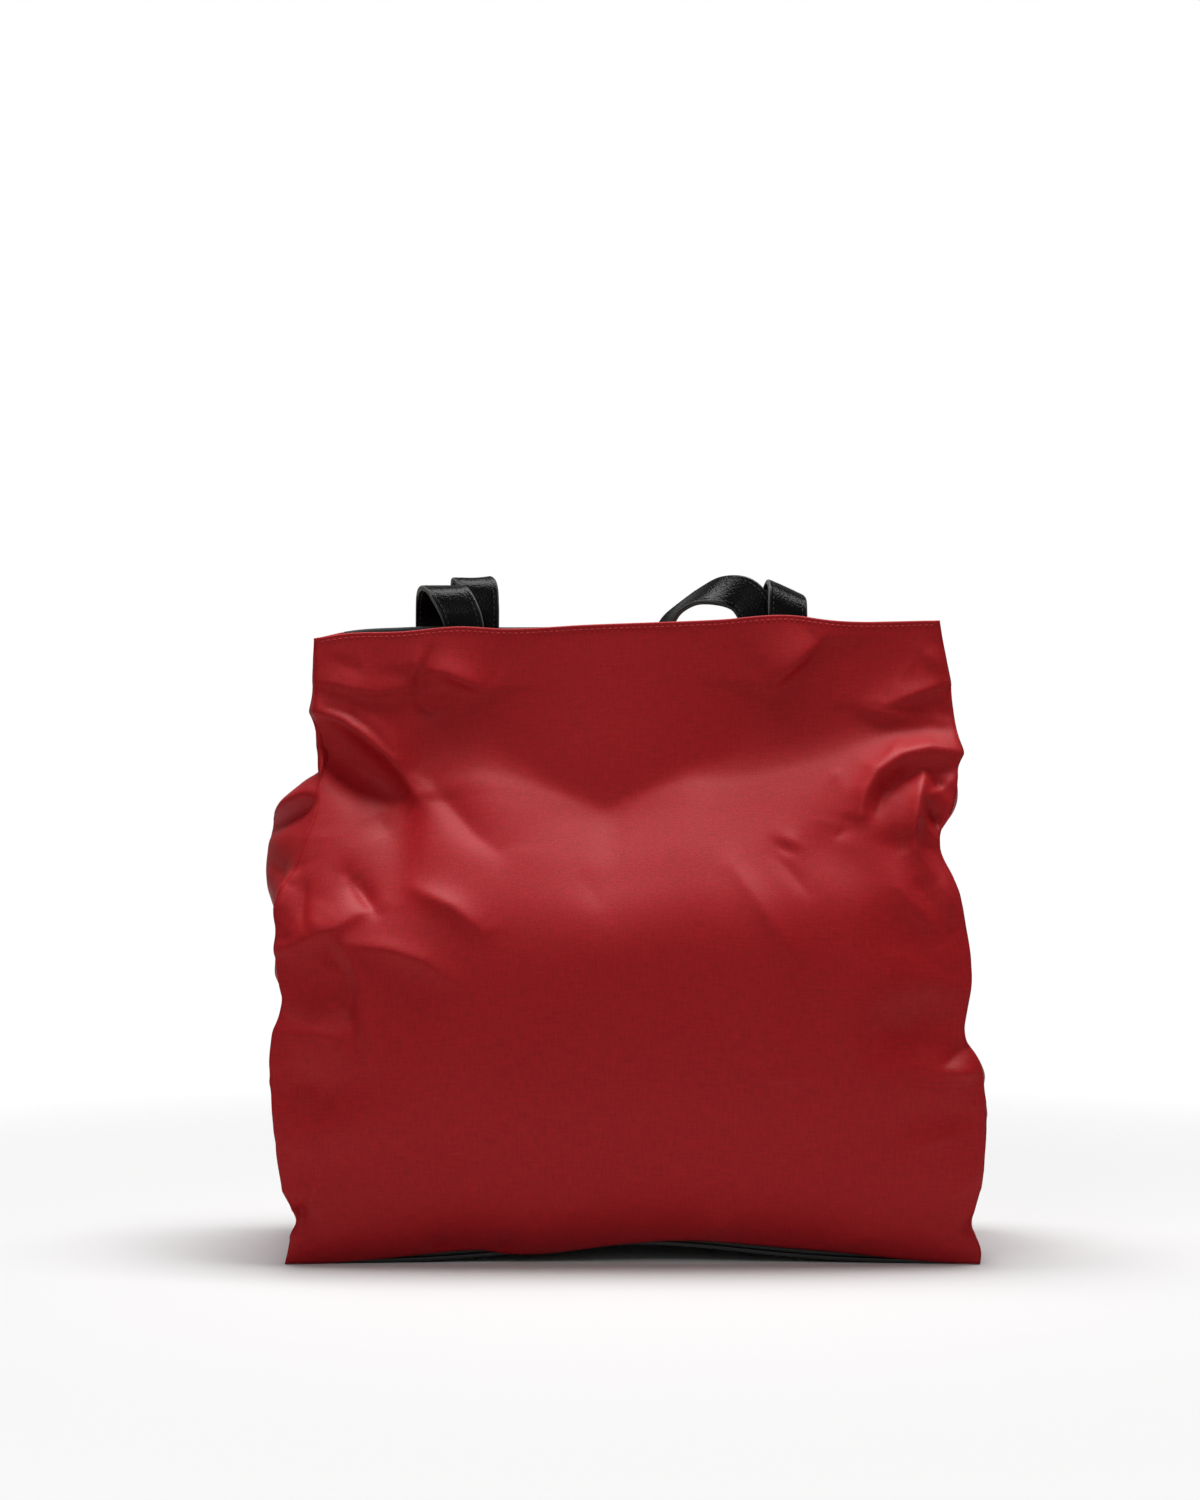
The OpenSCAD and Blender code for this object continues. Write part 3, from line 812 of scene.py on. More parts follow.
def settle(points):
    """Run the shell as cloth and give back how far each of its points has moved, in millimetres."""
    coarse = points[::SETTLE_STEP, ::SETTLE_STEP]
    rows, columns = coarse.shape[:2]
    faces = []
    for i in range(rows - 1):
        for j in range(columns):
            k = (j + 1) % columns
            low, high = i * columns, (i + 1) * columns
            faces.append((low + j, low + k, high + k, high + j))
    mesh = bpy.data.meshes.new("settling_cloth")
    mesh.from_pydata((coarse.reshape(-1, 3) * MM * SETTLE_SCALE).tolist(), [], faces)
    cloth = put_in_scene("settling_cloth", mesh)
    total = points.shape[1]
    column = np.arange(columns) * SETTLE_STEP
    from_seams = [np.abs((column - seam + total // 2) % total - total // 2) for seam in SEAMS]
    held, taut = held_and_taut(coarse[..., 2] / SETTLE_TOP, np.min(from_seams, axis=0))
    for label, weights in (("held", held), ("taut", taut)):
        group = cloth.vertex_groups.new(name=label)
        for index, weight in enumerate(weights.ravel().tolist()):
            group.add([index], weight, "REPLACE")
    sim = cloth.modifiers.new("settle", "CLOTH")
    for key, value in NYLON_GIVE.items():
        setattr(sim.settings, key, value)
    sim.collision_settings.use_collision = False
    sim.point_cache.frame_start = 1
    sim.point_cache.frame_end = SETTLE_FRAMES
    for number in range(1, SETTLE_FRAMES + 1):
        scene.frame_set(number)
    done = cloth.evaluated_get(bpy.context.evaluated_depsgraph_get()).data
    settled = np.zeros(rows * columns * 3, np.float32)
    done.vertices.foreach_get("co", settled)
    scene.frame_set(1)
    bpy.data.objects.remove(cloth)
    moved = settled.reshape(rows, columns, 3) / (MM * SETTLE_SCALE) - coarse
    far = np.linalg.norm(moved, axis=-1, keepdims=True)
    moved *= np.minimum(1, SETTLE_CAP / np.maximum(far, 1e-6))
    soft = (np.roll(moved, 1, axis=1) + 2 * moved + np.roll(moved, -1, axis=1)) / 4
    moved[1:-1] = (soft[:-2] + 2 * soft[1:-1] + soft[2:]) / 4
    return between(between(moved, SETTLE_STEP, 0), SETTLE_STEP, 1, closed=True)


shell = shell + settle(shell)

outward = shell_normals(shell)
lift = np.zeros(shell.shape[:2])
# Inside a gusset the folds start a few columns from the seams
GUSSET_FOLD_START = 5
gusset_column = np.arange(GUSSET_COLUMNS + 1)
gusset_part = ease(np.minimum(gusset_column, GUSSET_COLUMNS - gusset_column) / GUSSET_FOLD_START)
for folds, columns, axis, part in (
    (FRONT_FOLDS, FRONT_COLUMNS, 0, 1.0),
    (BACK_FOLDS, BACK_COLUMNS, 0, 1.0),
    (LEFT_FOLDS, LEFT_COLUMNS, 1, gusset_part),
    (RIGHT_FOLDS, RIGHT_COLUMNS, 1, gusset_part),
):
    for fold in folds:
        lift[:, columns] += part * fold_height(shell[:, columns, axis], shell[:, columns, 2], fold)

# Small crinkles beside the side seams, where the cloth has been folded up many times
WALL_CRINKLES = 90
GUSSET_CRINKLES = 24
CRINKLE_REACH = 46.0
CRINKLE_HEIGHTS = (20, 318)
CRINKLE_TURN = (-0.5, 0.5)
CRINKLE_HALF_LENGTHS = (3, 10)
CRINKLE_LIFTS = (0.3, 0.9)
CRINKLE_WIDTHS = (2.4, 4.5)
crinkle_seed = np.random.default_rng(11)
for columns, count in (
    (FRONT_COLUMNS, WALL_CRINKLES),
    (BACK_COLUMNS, WALL_CRINKLES),
    (LEFT_COLUMNS, GUSSET_CRINKLES),
    (RIGHT_COLUMNS, GUSSET_CRINKLES),
):
    flat = shell[:, columns]
    across = np.repeat(along_line(flat[ROWS // 2])[None, :], ROWS + 1, axis=0)
    wide = across[0, -1]
    for _ in range(count):
        x = min(crinkle_seed.exponential(CRINKLE_REACH / 2), wide / 2)
        z = crinkle_seed.uniform(*CRINKLE_HEIGHTS)
        turn = crinkle_seed.normal(*CRINKLE_TURN)
        half = crinkle_seed.uniform(*CRINKLE_HALF_LENGTHS)
        height = crinkle_seed.choice([-1, 1]) * crinkle_seed.uniform(*CRINKLE_LIFTS)
        width = crinkle_seed.uniform(*CRINKLE_WIDTHS)
        mirror = crinkle_seed.choice([False, True])
        start = np.array([x - half * math.cos(turn), z - half * math.sin(turn)])
        end = np.array([x + half * math.cos(turn), z + half * math.sin(turn)])
        if mirror:
            start[0], end[0] = wide - start[0], wide - end[0]
        lift[:, columns] += fold_height(across, flat[..., 2], ([start, end], height, width, width))

# What lifts a seam carries on a few columns into the gusset
SEAM_CARRY = 12
SEAM_FADE = 5
for k in range(1, SEAM_CARRY):
    left_over = math.exp(-((k / SEAM_FADE) ** 2))
    lift[:, RIGHT_COLUMNS[k]] += left_over * lift[:, RIGHT_COLUMNS[0]]
    lift[:, LEFT_COLUMNS[-1 - k]] += left_over * lift[:, LEFT_COLUMNS[-1]]
lift[0] = 0
shell = shell + outward * lift[..., None]

DYE_STREAKS = ((110.0, 900.0, 1.0), (900.0, 140.0, 1.0))


def nylon_streaks(tree):
    """Threads that took the dye a little darker or lighter, both ways, as a factor on the colour."""
    both = add_node(tree, "ShaderNodeMath", operation="ADD")
    for k, scale in enumerate(DYE_STREAKS):
        tree.links.new(threads_along(tree, scale, 2.0, 0.7), both.inputs[k])
    return number_between(tree, both.outputs["Value"], 0.84, 1.16, noise=(0.7, 1.3))


def twill_finish():
    """Red nylon twill: a satin shine with a red tint, faint fading, and uneven threads."""
    made, tree, shader = new_material("red_nylon_twill")
    link = tree.links.new
    shader.inputs["Specular IOR Level"].default_value = 0.3
    shader.inputs["Specular Tint"].default_value = (1.0, 0.42, 0.43, 1)
    nylon_weave(tree, shader, 0.22)
    place = add_node(tree, "ShaderNodeTexCoord").outputs["Object"]
    fade = noise_over(tree, place, 9.0, 4.0)
    red = shade_between(tree, fade, (0.285, 0.0062, 0.0090), (0.330, 0.0086, 0.0118))
    tone = add_node(tree, "ShaderNodeMix", {"Factor": 1.0}, data_type="RGBA", blend_type="MULTIPLY")
    link(red, tone.inputs["A"])
    link(nylon_streaks(tree), tone.inputs["B"])
    link(tone.outputs["Result"], shader.inputs["Base Color"])
    link(number_between(tree, fade, 0.46, 0.54), shader.inputs["Roughness"])
    return made


nylon = twill_finish()
front_wall = grid_object("front_wall_cloth", shell[:, FRONT_COLUMNS], nylon)
right_gusset = grid_object("right_gusset_cloth", shell[:, RIGHT_COLUMNS], nylon)
back_wall = grid_object("back_wall_cloth", shell[:, BACK_COLUMNS], nylon)
left_gusset = grid_object("left_gusset_cloth", shell[:, LEFT_COLUMNS], nylon)
for cloth in (front_wall, right_gusset, back_wall, left_gusset):
    thicken(cloth, CLOTH_T)
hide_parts("front_panel")
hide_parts("back_panel")
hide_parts("left_gusset")
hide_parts("right_gusset")
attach(front_wall, "front")
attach(back_wall, "bag")
# The gussets keep the places they were drawn in, with no body of their own to move with.
for cloth in (left_gusset, right_gusset):
    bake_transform(cloth)


# The hem: the top of each piece is turned in and stitched down with red thread, which leaves a
# rounded edge and one row of stitches just below it.
HEM_ROLL = (0.75, 1.0)
HEM_ROLL_SUNK = 0.6
HEM_STITCH_DOWN = 2.2
HEM_STITCH_PROUD = 0.1
HEM_PITCH = 3.1
HEM_STITCH = 2.3
HEM_THREAD = 0.85
# Columns beside a seam that the row of stitches leaves out, and the most rows down that it lies
HEM_SEAM_COLUMNS = 3
HEM_ROWS = 6
MOUTH_PARTS = (
    ("front", FRONT_COLUMNS),
    ("back", BACK_COLUMNS),
    ("left_gusset", LEFT_COLUMNS),
    ("right_gusset", RIGHT_COLUMNS),
)
WALL_BODIES = {"front": "front", "back": "bag"}

outward = shell_normals(shell)


def hem_line(columns):
    """The middle of the hem's rolled edge."""
    line = shell[-1, columns] - outward[-1, columns] * CLOTH_T / 2
    line[:, 2] -= HEM_ROLL[1] * HEM_ROLL_SUNK
    return line


def sew_to_mouth(piece, part):
    """Let a piece move with the wall that it is sewn to. A piece on a gusset keeps the place it was
    drawn in.
    """
    if part in WALL_BODIES:
        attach(piece, WALL_BODIES[part])
    else:
        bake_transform(piece)


for part, columns in MOUTH_PARTS:
    roll = tube_object(part + "_hem_roll", hem_line(columns), HEM_ROLL, nylon)
    uv = roll.data.uv_layers.new(name="cloth")
    places = np.array([roll.data.vertices[loop.vertex_index].co[:] for loop in roll.data.loops])
    uv.data.foreach_set("uv", places[:, [0, 2]].ravel())
    sew_to_mouth(roll, part)


def thread_finish(name, colour, rough):
    """Sewing thread: matt, with a twist that shows as lighter and darker specks."""
    made, tree, shader = new_material(name)
    shader.inputs["Roughness"].default_value = rough
    shader.inputs["Specular IOR Level"].default_value = 0.1
    place = add_node(tree, "ShaderNodeTexCoord").outputs["Object"]
    twist = noise_over(tree, place, 1800.0, 1.0)
    dark, light = ([share * c for c in colour] for share in (0.7, 1.3))
    tree.links.new(shade_between(tree, twist, dark, light), shader.inputs["Base Color"])
    return made


def stitch_row():
    """The rule for rows of stitches: a bead of thread at each step along the seam lines."""
    tree = bpy.data.node_groups.new("stitch_row", "GeometryNodeTree")
    link = tree.links.new
    ids = {}
    for label, kind in (
        ("Seam Lines", "NodeSocketGeometry"),
        ("Pitch", "NodeSocketFloat"),
        ("Stitch Length", "NodeSocketFloat"),
        ("Thread Thickness", "NodeSocketFloat"),
        ("Thread", "NodeSocketMaterial"),
    ):
        socket = tree.interface.new_socket(label, in_out="INPUT", socket_type=kind)
        ids[label] = socket.identifier
    tree.interface.new_socket("Stitches", in_out="OUTPUT", socket_type="NodeSocketGeometry")
    given = add_node(tree, "NodeGroupInput").outputs
    result = add_node(tree, "NodeGroupOutput")
    seam = add_node(tree, "GeometryNodeMeshToCurve")
    steps = add_node(tree, "GeometryNodeResampleCurve", mode="LENGTH")
    bead = add_node(tree, "GeometryNodeMeshUVSphere", {"Segments": 6, "Rings": 5, "Radius": 0.5})
    tangent = add_node(tree, "GeometryNodeInputTangent")
    turn = add_node(tree, "FunctionNodeAlignRotationToVector", axis="Z")
    size = add_node(tree, "ShaderNodeCombineXYZ")
    sew = add_node(tree, "GeometryNodeInstanceOnPoints")
    real = add_node(tree, "GeometryNodeRealizeInstances")
    smooth = add_node(tree, "GeometryNodeSetShadeSmooth")
    paint = add_node(tree, "GeometryNodeSetMaterial")
    link(given["Seam Lines"], seam.inputs["Mesh"])
    link(seam.outputs["Curve"], steps.inputs["Curve"])
    link(given["Pitch"], steps.inputs["Length"])
    link(steps.outputs["Curve"], sew.inputs["Points"])
    link(bead.outputs["Mesh"], sew.inputs["Instance"])
    link(tangent.outputs["Tangent"], turn.inputs["Vector"])
    link(turn.outputs["Rotation"], sew.inputs["Rotation"])
    for way, length in (("X", "Thread Thickness"), ("Y", "Thread Thickness"), ("Z", "Stitch Length")):
        link(given[length], size.inputs[way])
    link(size.outputs["Vector"], sew.inputs["Scale"])
    link(sew.outputs["Instances"], real.inputs["Geometry"])
    link(real.outputs["Geometry"], smooth.inputs["Geometry"])
    link(smooth.outputs["Geometry"], paint.inputs["Geometry"])
    link(given["Thread"], paint.inputs["Material"])
    link(paint.outputs["Geometry"], result.inputs["Stitches"])
    return tree, ids


# The thread is the cloth's red made lighter than the cloth, which paints a highlight onto the stitches.
red_thread = thread_finish("red_thread", (0.38, 0.028, 0.032), 0.7)
stitch_tree, stitch_sockets = stitch_row()


def stitches(name, lines, pitch, length, thickness, thread):
    """Rows of stitches along lines of points in millimetres, as one plain mesh."""
    points, edges = [], []
    for line in lines:
        edges += [(len(points) + k, len(points) + k + 1) for k in range(len(line) - 1)]
        points += (np.asarray(line) * MM).tolist()
    drawn = bpy.data.meshes.new(name + "_lines")
    drawn.from_pydata(points, edges, [])
    guide = put_in_scene(name + "_lines", drawn)
    rows = guide.modifiers.new("stitches", "NODES")
    rows.node_group = stitch_tree
    rows[stitch_sockets["Pitch"]] = pitch * MM
    rows[stitch_sockets["Stitch Length"]] = length * MM
    rows[stitch_sockets["Thread Thickness"]] = thickness * MM
    rows[stitch_sockets["Thread"]] = thread
    view = bpy.context.evaluated_depsgraph_get()
    mesh = bpy.data.meshes.new_from_object(guide.evaluated_get(view))
    mesh.name = name
    bpy.data.objects.remove(guide)
    return put_in_scene(name, mesh)


def below_hem(columns):
    """The line of a hem's stitches, on the cloth's outer face."""
    row_step = np.linalg.norm(shell[-1, columns] - shell[-2, columns], axis=1)
    back = np.clip(HEM_STITCH_DOWN / row_step, 0, HEM_ROWS)
    low = np.floor(back).astype(int)
    part = (back - low)[:, None]

    def at(grid):
        return grid[-1 - low, columns] * (1 - part) + grid[-2 - low, columns] * part

    line = at(shell) + at(outward) * HEM_STITCH_PROUD
    return line[HEM_SEAM_COLUMNS:-HEM_SEAM_COLUMNS]


for part, columns in MOUTH_PARTS:
    line = below_hem(columns)
    sewn = stitches(part + "_hem_stitches", [line], HEM_PITCH, HEM_STITCH, HEM_THREAD, red_thread)
    sew_to_mouth(sewn, part)


# The facings: a strip of black nylon tape inside the mouth of each wall, up to the hem. It is
# sewn down with the hem, and it carries the ends of the handles and the snap.
FACING_H = 44.0
FACING_T = 0.9
FACING_GAP = 0.4
FACING_UNDER_HEM = 0.4
FACING_REACH = 0.92
FACING_ROWS = 30
FACING_COLUMNS = 150
# How far each tape's upper edge is drawn up from there. The back one shows as a dark line
FRONT_FACING_UP = 0.0
BACK_FACING_UP = 0.9


def facing_grid(columns, edge_up):
    """The facing's side that lies against the wall."""
    wall = shell[:, columns]
    inward = -outward[:, columns]
    ends = (1 - FACING_REACH) / 2, (1 + FACING_REACH) / 2
    kept = np.linspace(*ends, FACING_COLUMNS) * (len(columns) - 1)
    kept = kept.round().astype(int)
    grid = np.zeros((FACING_ROWS, len(kept), 3))
    for j, column in enumerate(kept):
        hem = wall[-1, column, 2]
        heights = np.linspace(hem - FACING_H, hem - FACING_UNDER_HEM, FACING_ROWS)
        for axis in range(3):
            line = wall[:, column, axis] + inward[:, column, axis] * (CLOTH_T + FACING_GAP)
            grid[:, j, axis] = np.interp(heights, wall[:, column, 2], line)
        grid[:, j, 2] += edge_up * np.linspace(0, 1, FACING_ROWS) ** 4
    return grid


for part, columns, edge_up in (
    ("front", FRONT_COLUMNS, FRONT_FACING_UP),
    ("back", BACK_COLUMNS, BACK_FACING_UP),
):
    tape = grid_object(part + "_facing_tape", facing_grid(columns, edge_up), lining_black)
    thicken(tape, FACING_T)
    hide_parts(part + "_facing")
    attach(tape, WALL_BODIES[part])


# The handles: two straps, each of a face leather and a backing leather glued and stitched along
# both edges. Each is sewn inside the mouth at both ends, bends over it, and hangs in a loop
# behind the bag. A row of a route is a point on the middle line and the way the width points.
FRONT_ROUTE = [
    (-0.086, -0.014, 0.298, 1, 0, 0),
    (-0.086, -0.011, 0.328, 1, 0, 0),
    (-0.089, -0.010, 0.340, 1, 0, 0),
    (-0.095, -0.004, 0.350, 1, 0, 0),
    (-0.100, 0.007, 0.353, 1, 0, 0),
    (-0.103, 0.019, 0.350, 1, 0, 0),
    (-0.104, 0.027, 0.340, 1, 0, 0),
    (-0.104, 0.029, 0.320, 1, 0, 0),
    (-0.104, 0.034, 0.284, 1, 0, 0),
    (-0.103, 0.050, 0.252, 1, 0, 0),
    (-0.101, 0.069, 0.221, 1, 0, 0),
    (-0.097, 0.080, 0.186, 1, 0.2, 0),
    (-0.084, 0.090, 0.152, 0.8, 0.6, 0),
    (-0.050, 0.098, 0.129, 0.3, 1, 0),
    (-0.010, 0.099, 0.121, 0, 1, 0),
    (0.030, 0.098, 0.129, -0.3, 1, 0),
    (0.064, 0.092, 0.152, -0.8, 0.6, 0),
    (0.077, 0.082, 0.186, -1, 0.2, 0),
    (0.081, 0.071, 0.221, -1, 0, 0),
    (0.083, 0.052, 0.252, -1, 0, 0),
    (0.084, 0.035, 0.284, -1, 0, 0),
    (0.084, 0.029, 0.320, -1, 0, 0),
    (0.084, 0.027, 0.340, -1, 0, 0),
    (0.084, 0.019, 0.349, -1, 0, 0.3),
    (0.085, 0.007, 0.3525, -1, 0, 0.45),
    (0.086, -0.004, 0.349, -1, 0, 0.4),
    (0.086, -0.010, 0.340, -1, 0, 0.15),
    (0.086, -0.011, 0.328, -1, 0, 0),
    (0.086, -0.014, 0.298, -1, 0, 0),
]
BACK_ROUTE = [
    (-0.080, 0.014, 0.298, 1, 0, 0),
    (-0.079, 0.011, 0.330, 1, 0, 0),
    (-0.079, 0.012, 0.344, 1, 0, 0),
    (-0.080, 0.016, 0.354, 1, 0, 0),
    (-0.084, 0.023, 0.358, 1, 0, 0),
    (-0.085, 0.030, 0.354, 1, 0, 0),
    (-0.083, 0.034, 0.343, 1, 0, 0),
    (-0.080, 0.034, 0.320, 1, 0, 0),
    (-0.078, 0.037, 0.286, 1, 0, 0),
    (-0.074, 0.053, 0.254, 1, 0, 0),
    (-0.067, 0.072, 0.222, 1, 0.2, 0),
    (-0.054, 0.087, 0.192, 0.8, 0.6, 0),
    (-0.038, 0.094, 0.172, 0.3, 1, 0),
    (-0.018, 0.096, 0.165, 0, 1, 0),
    (0.002, 0.094, 0.172, -0.3, 1, 0),
    (0.018, 0.087, 0.192, -0.8, 0.6, 0),
    (0.025, 0.073, 0.222, -1, 0.2, 0),
    (0.028, 0.053, 0.254, -1, 0, 0),
    (0.028, 0.038, 0.286, -1, 0.2, 0),
    (0.024, 0.036, 0.320, -0.7, 0.7, 0),
    (0.0225, 0.035, 0.332, -0.4, 0.9, 0.05),
    (0.0285, 0.031, 0.342, -0.15, 0.95, 0.05),
    (0.039, 0.0255, 0.3495, 0, 0.9, 0.3),
    (0.051, 0.020, 0.3525, 0.15, 0.65, 0.7),
    (0.063, 0.0155, 0.350, 0.45, 0.3, 0.85),
    (0.070, 0.012, 0.341, 0.8, 0.1, 0.6),
    (0.075, 0.011, 0.326, 1, 0, 0.1),
    (0.076, 0.014, 0.298, 1, 0, 0),
]
FRONT_BENDS = (4, 24)
RINGS_PER_ROW = 12
ROUTE_STEP = 0.05
STRAP_W = 21.0
STITCH_IN = 2.7
STRAP_PITCH = 3.2
STRAP_STITCH = 2.5
STRAP_THREAD = 0.55
# How far through the strap the stitches of its face and of its backing lie
FACE_STITCH = -1.42
BACK_STITCH = 1.38
# Half of the strap's section, from one edge to the middle of the face: place across, place
# through. The edge is rounded and the row of stitches sinks a channel.
FACE_HALF = [
    (10.28, -0.06),
    (10.50, -0.35),
    (10.46, -0.85),
    (10.20, -1.25),
    (9.70, -1.48),
    (8.60, -1.56),
    (7.80, -1.36),
    (7.00, -1.58),
    (5.00, -1.66),
    (2.50, -1.70),
]
BACK_HALF = [
    (10.28, 0.06),
    (10.46, 0.35),
    (10.42, 0.85),
    (10.10, 1.25),
    (9.60, 1.42),
    (8.60, 1.48),
    (7.80, 1.34),
    (7.00, 1.48),
    (4.00, 1.52),
]
STRAP_SECTION = (
    [(-w, t) for w, t in FACE_HALF] + FACE_HALF[::-1] + BACK_HALF + [(-w, t) for w, t in BACK_HALF[::-1]]
)
# Where the cut edge starts across the section, and over how much it turns lighter
CUT_EDGE_START = 9.6
CUT_EDGE_CHANGE = 0.7


def strap_finish():
    """The handles' leather, glossier than the base's. Its cut edges are lighter: partly a rubbed raw
    edge, partly a painted highlight along the edge.
    """
    made = leather_finish(
        "strap_leather_black",
        dark=(0.002,) * 3,
        light=(0.004,) * 3,
        rough=0.17,
        grain=760,
        shine=0.06,
        relief=0.34,
    )
    tree = made.node_tree
    link = tree.links.new
    colour = tree.nodes["Principled BSDF"].inputs["Base Color"]
    edge_rubbing_and_highlight = add_node(tree, "ShaderNodeAttribute", attribute_name="cut_edge")
    edged = add_node(tree, "ShaderNodeMix", data_type="RGBA")
    # The lighter cut edge is partly the rubbed raw edge and partly a painted highlight along the strap's
    # edges.
    edged.inputs["B"].default_value = (0.10, 0.098, 0.092, 1)
    link(edge_rubbing_and_highlight.outputs["Fac"], edged.inputs["Factor"])
    link(colour.links[0].from_socket, edged.inputs["A"])
    link(edged.outputs["Result"], colour)
    return made


strap_leather = strap_finish()
black_thread = thread_finish("black_thread", (0.034, 0.034, 0.035), 0.45)


def strap_frames(route):
    """Points along a route, with the way that the strap's width points and the way through it."""
    rows = np.array(route, float)
    rows[:, :3] /= MM
    last = len(rows) - 1

    def smooth_row(s):
        i = np.minimum(np.floor(s).astype(int), last - 1)
        before, after = rows[np.maximum(i - 1, 0)], rows[np.minimum(i + 2, last)]
        return spline(before, rows[i], rows[i + 1], after, (s - i)[:, None])

    s = np.linspace(0, last, last * RINGS_PER_ROW + 1)
    at = smooth_row(s)
    ahead, behind = np.minimum(s + ROUTE_STEP, last), np.maximum(s - ROUTE_STEP, 0)
    way = smooth_row(ahead)[:, :3] - smooth_row(behind)[:, :3]
    way /= np.linalg.norm(way, axis=1, keepdims=True)
    side = at[:, 3:] - np.sum(at[:, 3:] * way, axis=1, keepdims=True) * way
    side /= np.linalg.norm(side, axis=1, keepdims=True)
    return at[:, :3], side, np.cross(way, side)


def strap_object(name, frames, stretches):
    """Stretches of a strap between numbers of rings, with the shading of the whole strap."""
    middle, side, out = frames
    section = np.array(STRAP_SECTION)
    rings = middle[:, None] + section[None, :, :1] * side[:, None] + section[None, :, 1:] * out[:, None]
    sides = len(section)
    along = np.gradient(rings, axis=0)
    round_it = np.roll(rings, -1, axis=1) - np.roll(rings, 1, axis=1)
    normals = np.cross(along, round_it)
    normals /= np.linalg.norm(normals, axis=2, keepdims=True)
    ring_edge = ease((np.abs(section[:, 0]) - CUT_EDGE_START) / CUT_EDGE_CHANGE)
    kept, faces = [], []
    for first, final in stretches:
        start = len(kept) * sides
        kept += range(first, final + 1)
        count = final - first
        for i in range(count):
            for k in range(sides):
                m = (k + 1) % sides
                a, b = start + i * sides, start + (i + 1) * sides
                faces.append((a + k, b + k, b + m, a + m))
        faces.append(tuple(start + k for k in range(sides)))
        faces.append(tuple(start + count * sides + k for k in range(sides))[::-1])
    piece = mesh_object(name, rings[kept], faces, strap_leather)
    piece.data.normals_split_custom_set_from_vertices(normals[kept].reshape(-1, 3).tolist())
    cut_edge = piece.data.attributes.new("cut_edge", "FLOAT", "POINT")
    cut_edge.data.foreach_set("value", np.tile(ring_edge, len(kept)).tolist())
    return piece


def strap_stitches(name, frames, stretches):
    """The four rows of stitches of a strap: along both edges of the face and of the backing."""
    middle, side, out = frames
    lines = []
    for first, final in stretches:
        for edge in (-1, 1):
            for depth in (FACE_STITCH, BACK_STITCH):
                line = middle + edge * (STRAP_W / 2 - STITCH_IN) * side + depth * out
                lines.append(line[first : final + 1])
    sewn = stitches(name, lines, STRAP_PITCH, STRAP_STITCH, STRAP_THREAD, black_thread)
    return sewn


front_frames = strap_frames(FRONT_ROUTE)
back_frames = strap_frames(BACK_ROUTE)
front_last = len(front_frames[0]) - 1
back_last = len(back_frames[0]) - 1
left_bend, right_bend = (row * RINGS_PER_ROW for row in FRONT_BENDS)
FRONT_ENDS = [(0, left_bend), (right_bend, front_last)]
FRONT_LOOP = [(left_bend, right_bend)]
BACK_WHOLE = [(0, back_last)]

# The front handle is cut into its sewn ends and its loop, and each piece keeps the place it was drawn
# in.
front_ends = strap_object("front_handle_sewn_ends", front_frames, FRONT_ENDS)
front_loop = strap_object("front_handle_loop", front_frames, FRONT_LOOP)
back_handle = strap_object("back_handle_loop", back_frames, BACK_WHOLE)
front_end_thread = strap_stitches("front_handle_end_stitches", front_frames, FRONT_ENDS)
front_loop_thread = strap_stitches("front_handle_stitches", front_frames, FRONT_LOOP)
back_thread = strap_stitches("back_handle_stitches", back_frames, BACK_WHOLE)
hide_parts("front_handle_left_end", "front_handle_right_end")
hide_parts("front_handle_strap", "front_handle_backing")
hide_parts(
    "back_handle_strap", "back_handle_backing", "back_handle_left_end", "back_handle_right_end"
)
for strap in (front_ends, front_end_thread):
    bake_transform(strap)
for strap in (front_loop, front_loop_thread):
    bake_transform(strap)
for strap in (back_handle, back_thread):
    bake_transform(strap)


# The anchor patches and the magnetic snap keep their built shapes: leather patches sewn over the
# straps' ends, and two plated steel halves pronged through the facings.
def nickel_finish():
    """Nickel plate with fine scuffs in its shine."""
    made, tree, shader = new_material("nickel_plate")
    shader.inputs["Metallic"].default_value = 1.0
    shader.inputs["Base Color"].default_value = (0.66, 0.64, 0.60, 1)
    place = add_node(tree, "ShaderNodeTexCoord").outputs["Object"]
    scuffs = noise_over(tree, place, 420.0, 5.0)
    gloss = number_between(tree, scuffs, 0.16, 0.36, noise=(0, 1))
    tree.links.new(gloss, shader.inputs["Roughness"])
    return made


nickel = nickel_finish()
for node_name, finish in (
    ("front_anchor_patches", strap_leather),
    ("back_anchor_patches", strap_leather),
    ("snap_socket", nickel),
    ("snap_stud", nickel),
):
    built = bpy.data.objects[node_name]
    built.data.materials.clear()
    built.data.materials.append(finish)


# The studio: a pale floor that fades into a white backdrop, soft light from above, and a level
# camera in front of the bag. Its places and sizes are in metres.
FLOOR_HALF = 6
FLOOR_KEPT = 0.30
FLOOR_GONE = 0.80
WORLD_LIGHT = 0.15
GLOSS_LIGHT = 0.1
CAMERA_ACROSS = -0.014
CAMERA_BACK = 1.65
CAMERA_HEIGHT = 0.266
SENSOR = 36
# The frame's height, in the plane where the bag's front stands
FRAME_TALL = 0.78
FRAME_PLANE = 0.05


